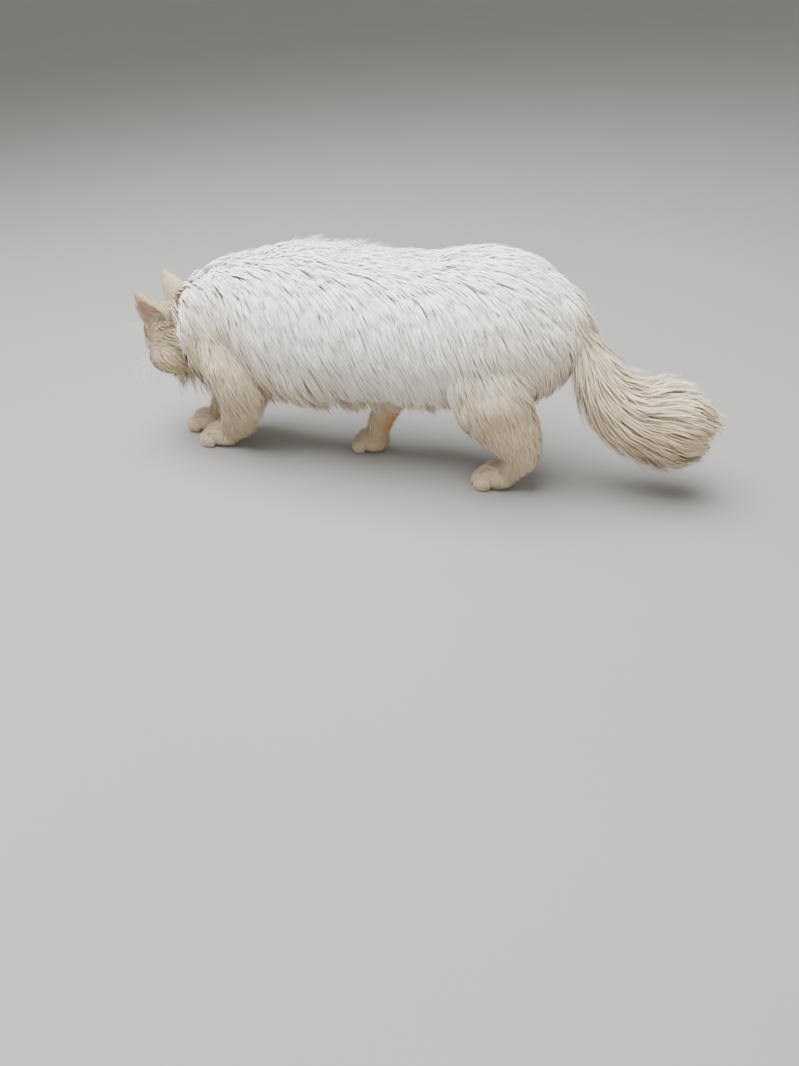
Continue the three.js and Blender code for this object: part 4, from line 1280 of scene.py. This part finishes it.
def lay_tufts(prefix, names, kind, paths, width, uv, tone):
    """One piece for each name, or several where it has too many tufts for one."""
    for name in sorted(set(names)):
        chosen = np.flatnonzero(names == name)
        parts = math.ceil(len(chosen) / kind["most"])
        for part in range(parts):
            some = chosen[part::parts]
            label = f"{prefix}_{name}" if parts == 1 else f"{prefix}_{name}_{part + 1}"
            here = [path[:, some] for path in paths]
            made = strand_mesh(label, kind, here, width[some], uv[some], tone[some])
            finish_coat(made)


# The kind of form that each zone is, and the pieces of long and short coat that it belongs to.
ZONES = [zone.split("_")[0] for zone in (*LIMBS, *STANCE, "head", "ear_left", "ear_right")]
COAT_OF = {
    "torso": "back",
    "neck": "ruff",
    "tail": "tail",
    "foreleg": "forelegs",
    "forepaw": "forelegs",
    "thigh": "hindlegs",
    "shank": "hindlegs",
    "hindpaw": "hindlegs",
    "head": "head",
    "ear": "head",
}
FUR_OF = {"head": "face", "neck": "face", "ear": "ear"}


class CAT_OT_long_coat(bpy.types.Operator):
    """Makes the long coat of body, ruff, legs and tail"""

    bl_idname = "cat.long_coat"
    bl_label = "Long coat"

    def execute(self, context):
        rng = np.random.default_rng(SEED)
        field, settings = the_field(), coat()
        locks = Locks(field, settings, rng)
        count, steps = settings.long_tufts, LONG["steps"]
        density = smooth(field.depth, 4.5, 7.5) * (1 - field.bare) * (0.4 + 0.6 * field.fan)
        hair = Roots(field, density, count, rng)
        roots, normal, first = hair.places, hair.normal, hair.first
        near = nearest(locks.tree, roots)
        off = roots - locks.roots[near]
        x, y, z = (dot(off, way[0, near]) for way in (locks.side, locks.ahead, locks.out))
        reach = rng.beta(5, 1.6, count) * 0.75 + 0.34
        low = rng.beta(4.6, 1.1, count)
        aside, above = np.clip(rng.normal(0, 1, (2, count)), -1.6, 1.6)
        fan = np.minimum(hair.read(field.fan), 5) - 1
        # Hair that hangs, and the end of the plume, ends in pointed locks.
        plume = (field.zone[first] == TAIL_ZONE) * field.at[first, 0]
        pointed = 0.4 * hair.read(field.down) + 0.45 * smooth(plume, 0.55, 0.85)
        gather = np.clip(settings.gather * rng.uniform(0.4, 1.3, count) + pointed, 0, 0.85)
        rows = np.empty((steps, count, 3))
        side, out = np.empty_like(rows), np.empty_like(rows)
        for k in range(steps):
            s = k / (steps - 1)
            place = np.clip(reach * s, 0, 1.08) * STEPS
            i = np.minimum(place.astype(int), STEPS - 1)
            w = (place - i)[:, None]
            take = lambda way: way[i, near] * (1 - w) + way[np.minimum(i + 1, STEPS), near] * w
            across, upward, onward = (unit(take(way)) for way in (locks.side, locks.out, locks.ahead))
            profile = risen(s)
            keep = ((1 - gather * s**1.4) * (1 + fan * profile))[:, None]
            stray, lift = (s**1.5 * 2.2 * aside)[:, None], (s**1.5 * 1.2 * above)[:, None]
            under = (locks.height[near] * (1 - low) * 0.75 * profile)[:, None]
            rows[k] = take(locks.places) + across * (x * keep + stray) + onward * y * keep
            rows[k] += upward * (z * (1 - s) + lift - under)
            side[k], out[k] = across, upward
        keep_above(rows, 1.2)
        rows[0] -= normal * 1.2
        # A few loose hairs stand over the withers.
        withers = smooth(normal[:, 2], 0.75, 0.92) * smooth(-np.abs(roots[:, 1] + 20), -75, -35)
        loose = withers * (rng.random(count) < 0.16) * rng.uniform(3, 11, count)
        rows += normal * (loose * (np.linspace(0, 1, steps) ** 1.5)[:, None])[..., None]
        width = settings.tuft_width / MM * rng.uniform(0.55, 1.15, count)
        width *= np.clip(hair.depth / 16, 0.55, 1.1)
        width *= 1 + 0.25 * smooth(normal[:, 2], 0.2, 0.8)
        # A tuft over the edge between two patches of the unwrap takes one corner's place.
        torn = np.ptp(field.uv[hair.corners], axis=1) > TORN
        uv = np.where(torn, field.uv[first], hair.read(field.uv))
        tone = rng.random(count)
        names = np.array([COAT_OF[ZONES[z]] for z in field.zone[first]])
        flank = (names == "back") & (np.abs(normal[:, 0]) > 0.35) & (normal[:, 2] > -0.5)
        names[flank & (roots[:, 0] > 0)] = "flank_le"
        names[flank & (roots[:, 0] <= 0)] = "flank_ri"
        lay_tufts("coat", names, LONG, (rows, side, out), width, uv, tone)
        return {"FINISHED"}


class CAT_OT_short_coat(bpy.types.Operator):
    """Makes the short fur of face, ears, lower legs and feet"""

    bl_idname = "cat.short_coat"
    bl_label = "Short coat"

    def execute(self, context):
        rng = np.random.default_rng(SEED + 1)
        field, count, steps = the_field(), coat().short_tufts, SHORT["steps"]
        density = smooth(-field.depth, -9, -6) * (1 - field.bare) * (1 - smooth(field.rim, 0.1, 0.5))
        density *= 0.5 + 4 / np.maximum(field.depth, 1.5)
        density *= field.points[:, 2] > 2.5
        hair = Roots(field, density, count, rng)
        roots, depth, normal = hair.places, hair.depth, hair.normal
        lie = leaned(hair.lie, normal, np.radians(rng.normal(0, 12, count))[:, None])
        length = (2.6 + 2.1 * depth) * rng.uniform(0.75, 1.15, count)
        height = depth * rng.uniform(0.55, 1.0, count)
        rows = np.empty((steps, count, 3))
        for k in range(steps):
            s = k / (steps - 1)
            bend = (length**2 * s * s / 110)[:, None] * smooth(depth, 1.5, 6)[:, None]
            rows[k] = roots + lie * (length * s)[:, None] - normal * bend
            rows[k] += normal * (height * risen(s, 1.6))[:, None]
        # Tufts that would cross an eye stay short of it.
        for eye in (1, -1):
            far, facing = from_eye(eye, to_head(rows))
            over = ((far < EYEBALL["radius"] + EYEBALL["clear"]) & (facing > 0.6)).any(0)
            rows = np.where(over[None, :, None], roots + (rows - roots) * 0.22, rows)
        rows[0] -= normal * 0.7
        keep_above(rows, 0.8)
        side, out = (np.broadcast_to(way, rows.shape) for way in (np.cross(lie, normal), normal))
        width = (0.65 + 0.11 * depth) * rng.uniform(0.7, 1.2, count)
        tone = rng.random(count)
        names = np.array([FUR_OF.get(ZONES[z], "feet") for z in field.zone[hair.first]])
        lay_tufts("fur", names, SHORT, (rows, side, out), width, field.uv[hair.first], tone)
        return {"FINISHED"}


class CAT_OT_ear_furnishings(bpy.types.Operator):
    """Makes the long soft hairs that cross the ear cups"""

    bl_idname = "cat.ear_furnishings"
    bl_label = "Ear furnishings"

    def execute(self, context):
        rng = np.random.default_rng(SEED + 4)
        rows, outs = [], []
        count, steps = 420, EAR_HAIR["steps"]
        for side, cup in CUPS.items():
            t = rng.beta(1.3, 2.2, count) * 0.6 + 0.16
            # Most grow from the cup's front margin, the rest round its base.
            front = rng.random(count) < 0.7
            angle = np.where(front, rng.normal(0.25, 0.3, count), rng.uniform(-1, 4, count))
            root = cup.surface(t, angle if side > 0 else math.pi - angle, 0.0)
            centre, ahead, up, _, _ = cup.frames(t)
            inward = unit(centre - root)
            way = unit(ahead * 0.8 + up * 0.25 + inward * 0.75 + rng.normal(0, 0.14, (count, 3)))
            length = rng.uniform(6, 13, count) * (1 - 0.5 * t)
            s = np.linspace(0, 1, steps)[:, None, None]
            bend = (up * 0.5 + ahead * 0.4) * (length * 0.35)[:, None]
            rows.append(root - way * 0.8 + way * length[:, None] * s + bend * s * s)
            outs.append(np.broadcast_to(unit(up + inward * 0.3), (steps, count, 3)))
        rows, outs = np.concatenate(rows, 1), np.concatenate(outs, 1)
        side = unit(np.cross(unit(np.gradient(rows, axis=0)), outs))
        width = rng.uniform(0.35, 0.7, 2 * count)
        u, v, wide, high = CHARTS[HEAD_ZONE + 1]
        uv = np.stack([u + wide * rng.random(2 * count), v + high * rng.random(2 * count)], 1)
        tone = rng.random(2 * count)
        made = strand_mesh("ear_furnishings", EAR_HAIR, (rows, side, outs), width, uv, tone)
        finish_coat(made)
        return {"FINISHED"}


# Eyes and nose.
class CAT_OT_eyes(bpy.types.Operator):
    """Makes both eyes, with a bulged cornea"""

    bl_idname = "cat.eyes"
    bl_label = "Eyes"

    def execute(self, context):
        around, rings = 64, 40
        polar = math.pi * np.concatenate([[0.004], np.linspace(0, 1, rings + 1)[1:-1], [0.996]])
        way = ways_round(polar, around)
        bulge = 0.5 * smooth(-way[:, 1], 0.72, 0.98)
        radius = (EYEBALL["radius"] - 0.1 + bulge)[:, None]
        # A cat's pupil is taller than wide in daylight.
        narrow = np.hypot(way[:, 0] * 1.35, way[:, 2] * 0.95)
        flat = np.hypot(way[:, 0], way[:, 2])
        out = np.arccos(np.clip(-way[:, 1], -1, 1)) / math.pi
        out = out * (1 + smooth(out, 0.3, 0.2) * (narrow / np.maximum(flat, 1e-6) - 1))
        turn = np.arctan2(way[:, 2], way[:, 0]) / (2 * math.pi) % 1
        for side, node in ((1, "eye_left"), (-1, "eye_right")):
            points = from_head(way * radius @ eye_turn(side).T + eye_at(side))
            made = solid(node.replace("eye", "eyeball"), (points, tube_faces(len(polar), around)))
            mesh = made.data
            loops = np.empty(len(mesh.loops), np.int32)
            mesh.loops.foreach_get("vertex_index", loops)
            layer = mesh.uv_layers.new(name="EyeMap")
            layer.data.foreach_set("uv", np.stack([turn, out], 1)[loops].ravel().astype(np.float32))
            dress(made, "copper_eye")
            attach(made, "root")
            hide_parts(node)
        return {"FINISHED"}


class CAT_OT_nose(bpy.types.Operator):
    """Makes the nose leather with its nostrils and groove"""

    bl_idname = "cat.nose"
    bl_label = "Nose"

    def execute(self, context):
        round_points, faces = ball((0, 0, 0), (1, 1, 1), None, 72, 48)
        shape = round_points * NOSE_PAD["radii"]
        # Narrower at the bottom, with a groove down the front.
        shape[:, :1] *= 0.55 + 0.25 * (round_points[:, 2:] + 1)
        front = smooth(-round_points[:, 1], 0.2, 0.7) * (round_points[:, 2] < 0.35)
        shape[:, 1] += 0.7 * np.exp(-((shape[:, 0] / 0.55) ** 2)) * front
        shape += NOSE_PAD["at"]
        made = solid("nose_leather", (from_head(shape), faces))
        _, y, z = NOSE_PAD["at"]
        for side in (1, -1):
            turn = HEAD_TURN @ turn_about("Z", side * 28) @ turn_about("Y", side * 26)
            carve(made, ball(from_head((side * NOSTRIL["apart"], y - 3.4, z - 0.4)), NOSTRIL["radii"], turn))
            slit = from_head((side * NOSTRIL["slit_apart"], y - 2.6, z + 0.3))
            carve(made, ball(slit, NOSTRIL["slit_radii"], turn))
        rounded(made, "nose")
        dress(made, "nose_leather")
        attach(made, "root")
        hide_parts("nose")
        return {"FINISHED"}


# Whiskers and claws, set by nodes on points that carry their way and length.
def bristle_tree(name, sides, material):
    """Nodes that set a tapered bristle on each point, which droops and arches back with the square of the
    way from its root."""
    tree = bpy.data.node_groups.new(name, "GeometryNodeTree")
    face = tree.interface
    face.new_socket("Geometry", in_out="INPUT", socket_type="NodeSocketGeometry")
    for label, value in (("Thickness", 0.0004), ("Droop", 2.0), ("Arch", 0.0)):
        socket = face.new_socket(label, in_out="INPUT", socket_type="NodeSocketFloat")
        socket.default_value = value
    face.new_socket("Geometry", in_out="OUTPUT", socket_type="NodeSocketGeometry")
    given = put(tree, "NodeGroupInput").outputs
    vector = {"data_type": "FLOAT_VECTOR"}
    way = put(tree, "GeometryNodeInputNamedAttribute", {0: "way"}, **vector).outputs[0]
    reach = put(tree, "GeometryNodeInputNamedAttribute", {0: "reach"}, data_type="FLOAT").outputs[0]
    shape = {"Vertices": sides, "Side Segments": 9, "Radius Bottom": 1.0, "Radius Top": 0.06, "Depth": 1.0}
    cone = put(tree, "GeometryNodeMeshCone", shape).outputs["Mesh"]
    aim = put(tree, "FunctionNodeAlignRotationToVector", {"Vector": way}, axis="Z").outputs[0]
    size = put(tree, "CombineXYZ", {0: given["Thickness"], 1: given["Thickness"], 2: reach}).outputs[0]
    set_on = {"Points": given["Geometry"], "Instance": cone, "Rotation": aim, "Scale": size}
    set_on = put(tree, "GeometryNodeInstanceOnPoints", set_on).outputs[0]
    root = put(tree, "GeometryNodeInputPosition").outputs[0]
    kept = {"Geometry": set_on, "Name": "root", "Value": root}
    kept = put(tree, "GeometryNodeStoreNamedAttribute", kept, domain="INSTANCE", **vector).outputs[0]
    real = put(tree, "GeometryNodeRealizeInstances", {0: kept}).outputs[0]
    here = put(tree, "GeometryNodeInputPosition").outputs[0]
    start = put(tree, "GeometryNodeInputNamedAttribute", {0: "root"}, **vector).outputs[0]
    off = put(tree, "VectorMath", {0: here, 1: start}, operation="SUBTRACT").outputs[0]
    far = put(tree, "VectorMath", {0: off}, operation="LENGTH").outputs["Value"]
    squared = put(tree, "Math", {0: far, 1: far}, operation="MULTIPLY").outputs[0]
    drop = put(tree, "Math", {0: squared, 1: given["Droop"]}, operation="MULTIPLY").outputs[0]
    drop = put(tree, "Math", {0: drop, 1: -1.0}, operation="MULTIPLY").outputs[0]
    back = put(tree, "Math", {0: squared, 1: given["Arch"]}, operation="MULTIPLY").outputs[0]
    move = put(tree, "CombineXYZ", {1: back, 2: drop}).outputs[0]
    bent = put(tree, "GeometryNodeSetPosition", {"Geometry": real, "Offset": move}).outputs[0]
    dressed = put(tree, "GeometryNodeSetMaterial", {"Geometry": bent, "Material": material}).outputs[0]
    put(tree, "NodeGroupOutput", {0: dressed})
    return tree


def bristles(name, finish, rows, sides, **values):
    """One piece of bristles. Each row is a root, a way and a length."""
    roots, ways, lengths = (np.array(column, float) for column in zip(*rows))
    made = new_object(name, roots, [])
    way = made.data.attributes.new("way", "FLOAT_VECTOR", "POINT")
    way.data.foreach_set("vector", unit(ways).ravel().astype(np.float32))
    mark(made.data, "reach", lengths * MM)
    tree = bristle_tree(name, sides, material_of(coat(), finish))
    grown = made.modifiers.new("grow", "NODES")
    grown.node_group = tree
    for item in tree.interface.items_tree:
        if item.item_type == "SOCKET" and item.in_out == "INPUT" and item.name in values:
            grown[item.identifier] = values[item.name]
    settle(made)
    shade_smooth(made.data)
    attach(made, "root")


class CAT_OT_whiskers(bpy.types.Operator):
    """Sets whiskers on the pads and a few over the eyes"""

    bl_idname = "cat.whiskers"
    bl_label = "Whiskers"

    def execute(self, context):
        rng = np.random.default_rng(SEED + 2)
        rows = []

        def add(out, way, length):
            root = head_skin(unit(np.array([out])), 0.5)[0]
            rows.append((from_head(root), HEAD_TURN @ way, length))

        for side in (1, -1):
            # Four rows of three on the pad, then four over the eye.
            for row in range(4):
                for k in range(3):
                    x = 11 + 3.1 * k + rng.uniform(-0.4, 0.4)
                    out = (side * x, -42 + 3.4 * k, -11 - 2.7 * row + 0.4 * k)
                    way = (side * 1.0, -0.42 + 0.3 * k, 0.28 - 0.17 * row + rng.uniform(-0.05, 0.05))
                    length = (50 - 5 * abs(row - 1.5) - 8 * (k == 0)) * rng.uniform(0.85, 1.05)
                    add(out, way, length)
            for k in range(4):
                way = (side * (0.35 + 0.15 * k), -0.55, 0.9)
                add((side * (15 + 3.2 * k), -30.0, 21 + 0.8 * k), way, rng.uniform(24, 34))
        bristles("whiskers", "whisker", rows, 6, Thickness=0.24 * MM, Droop=2.4, Arch=1.6)
        return {"FINISHED"}


class CAT_OT_claws(bpy.types.Operator):
    """Sets a sheathed claw in each toe, with only its tip out"""

    bl_idname = "cat.claws"
    bl_label = "Claws"

    def execute(self, context):
        rows = []
        for name in STANCE:
            spin, _, place = paw_frame(name)
            for root in toes(CLAW["ahead"], CLAW["height"]):
                rows.append((place(root), spin @ CLAW["way"], CLAW["length"]))
        bristles("claws", "claw", rows, 8, Thickness=1.1 * MM, Droop=45.0, Arch=0.0)
        return {"FINISHED"}


class CAT_OT_pads(bpy.types.Operator):
    """Makes the pads under palm and toes"""

    bl_idname = "cat.pads"
    bl_label = "Paw pads"

    def execute(self, context):
        parts = []
        for name in STANCE:
            spin, _, place = paw_frame(name)
            parts.append(ball(place(PAD["at"]), PAD["radii"], spin, 28, 16))
            for toe in toes(PAD["toe_ahead"], PAD["toe_height"]):
                parts.append(ball(place(toe), PAD["toe_radii"], spin, 20, 12))
        made = solid("paw_pads", together(parts))
        dress(made, "paw_pad")
        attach(made, "root")
        return {"FINISHED"}


# Stage: pale floor, soft light, and the camera at the photograph's angle.
CAMERA = {
    "at": (0.80500747, 0.36453383, 0.535),
    "right": (-0.3164125, 0.94730272, -0.05000694),
    "down": (0.58802174, 0.15449577, -0.79395308),
    "ahead": (-0.74438805, -0.28062185, -0.60591898),
    "focal_px": 791.76,
}
PHOTO = (799, 1066)
SENSOR = 36.0
# Colour and strength of the light from all round.
SKY = ("#e4e3df", 0.8)


def area_light(name, at, aim, size, power, colour):
    light = bpy.data.lights.new(name, "AREA")
    light.shape, light.size, light.energy, light.color = "SQUARE", size, power, srgb(colour)[:3]
    back = unit(np.array(at, float) - np.array(aim, float))
    side = unit(np.cross((0.0, 1.0, 0.02), back))
    turn = np.stack([side, np.cross(back, side), back], 1)
    placed(name, light).matrix_world = Matrix.Translation(at) @ Matrix(turn.tolist()).to_4x4()


class CAT_OT_stage(bpy.types.Operator):
    """Makes the floor, the lights and the camera"""

    bl_idname = "cat.stage"
    bl_label = "Stage"

    def execute(self, context):
        scene, settings = context.scene, context.scene.cat_stage
        half = settings.floor_size / 2
        corners = np.array([(-half, -half, 0), (half, -half, 0), (half, half, 0), (-half, half, 0)])
        floor = new_object("floor", corners, [(0, 1, 2, 3)], row=False)
        floor.data.materials.append(floor_material(settings.floor_colour))

        scene.world = bpy.data.worlds.new("studio")
        scene.world.use_nodes = True
        sky = scene.world.node_tree.nodes["Background"].inputs
        sky[0].default_value, sky[1].default_value = srgb(SKY[0]), SKY[1]
        area_light("overhead", (0.15, -0.35, 1.9), (0, 0, 0.1), 1.7, settings.key_power, "#fbfcff")
        area_light("side", (1.9, 0.9, 0.9), (0, 0, 0.15), 1.6, settings.fill_power, "#ffeedd")

        turn = np.stack([CAMERA["right"], -np.array(CAMERA["down"]), -np.array(CAMERA["ahead"])], 1)
        camera = bpy.data.cameras.new("camera")
        camera.sensor_fit, camera.sensor_width = "AUTO", SENSOR
        camera.lens = CAMERA["focal_px"] * SENSOR / max(PHOTO)
        camera.clip_start, camera.clip_end = 0.01, 50
        at = np.array(CAMERA["at"]) + SHIFT * MM * (1, 1, 0)
        scene.camera = placed("camera", camera)
        scene.camera.matrix_world = Matrix.Translation(at.tolist()) @ Matrix(turn.tolist()).to_4x4()
        return {"FINISHED"}


class CAT_PT_panel(bpy.types.Panel):
    """Lists the pieces and their settings"""

    bl_label = "Long-haired cat"
    bl_idname = "CAT_PT_panel"
    bl_space_type = "VIEW_3D"
    bl_region_type = "UI"
    bl_category = "Cat"

    def draw(self, context):
        for operator in OPERATORS:
            self.layout.operator(operator.bl_idname)
        for group in (context.scene.cat_coat, context.scene.cat_stage):
            for name in group.__annotations__:
                self.layout.prop(group, name)


OPERATORS = (
    CAT_OT_stage,
    CAT_OT_skin,
    CAT_OT_eyes,
    CAT_OT_nose,
    CAT_OT_long_coat,
    CAT_OT_short_coat,
    CAT_OT_ear_furnishings,
    CAT_OT_whiskers,
    CAT_OT_claws,
    CAT_OT_pads,
)
CLASSES = (CatCoatSettings, CatStageSettings, *OPERATORS, CAT_PT_panel)


def register():
    for kind in CLASSES:
        bpy.utils.register_class(kind)
    bpy.types.Scene.cat_coat = bpy.props.PointerProperty(type=CatCoatSettings)
    bpy.types.Scene.cat_stage = bpy.props.PointerProperty(type=CatStageSettings)


def unregister():
    del bpy.types.Scene.cat_stage
    del bpy.types.Scene.cat_coat
    for kind in reversed(CLASSES):
        bpy.utils.unregister_class(kind)


def main():
    register()
    for operator in OPERATORS:
        group, name = operator.bl_idname.split(".")
        getattr(getattr(bpy.ops, group), name)()


if __name__ == "__main__":
    main()
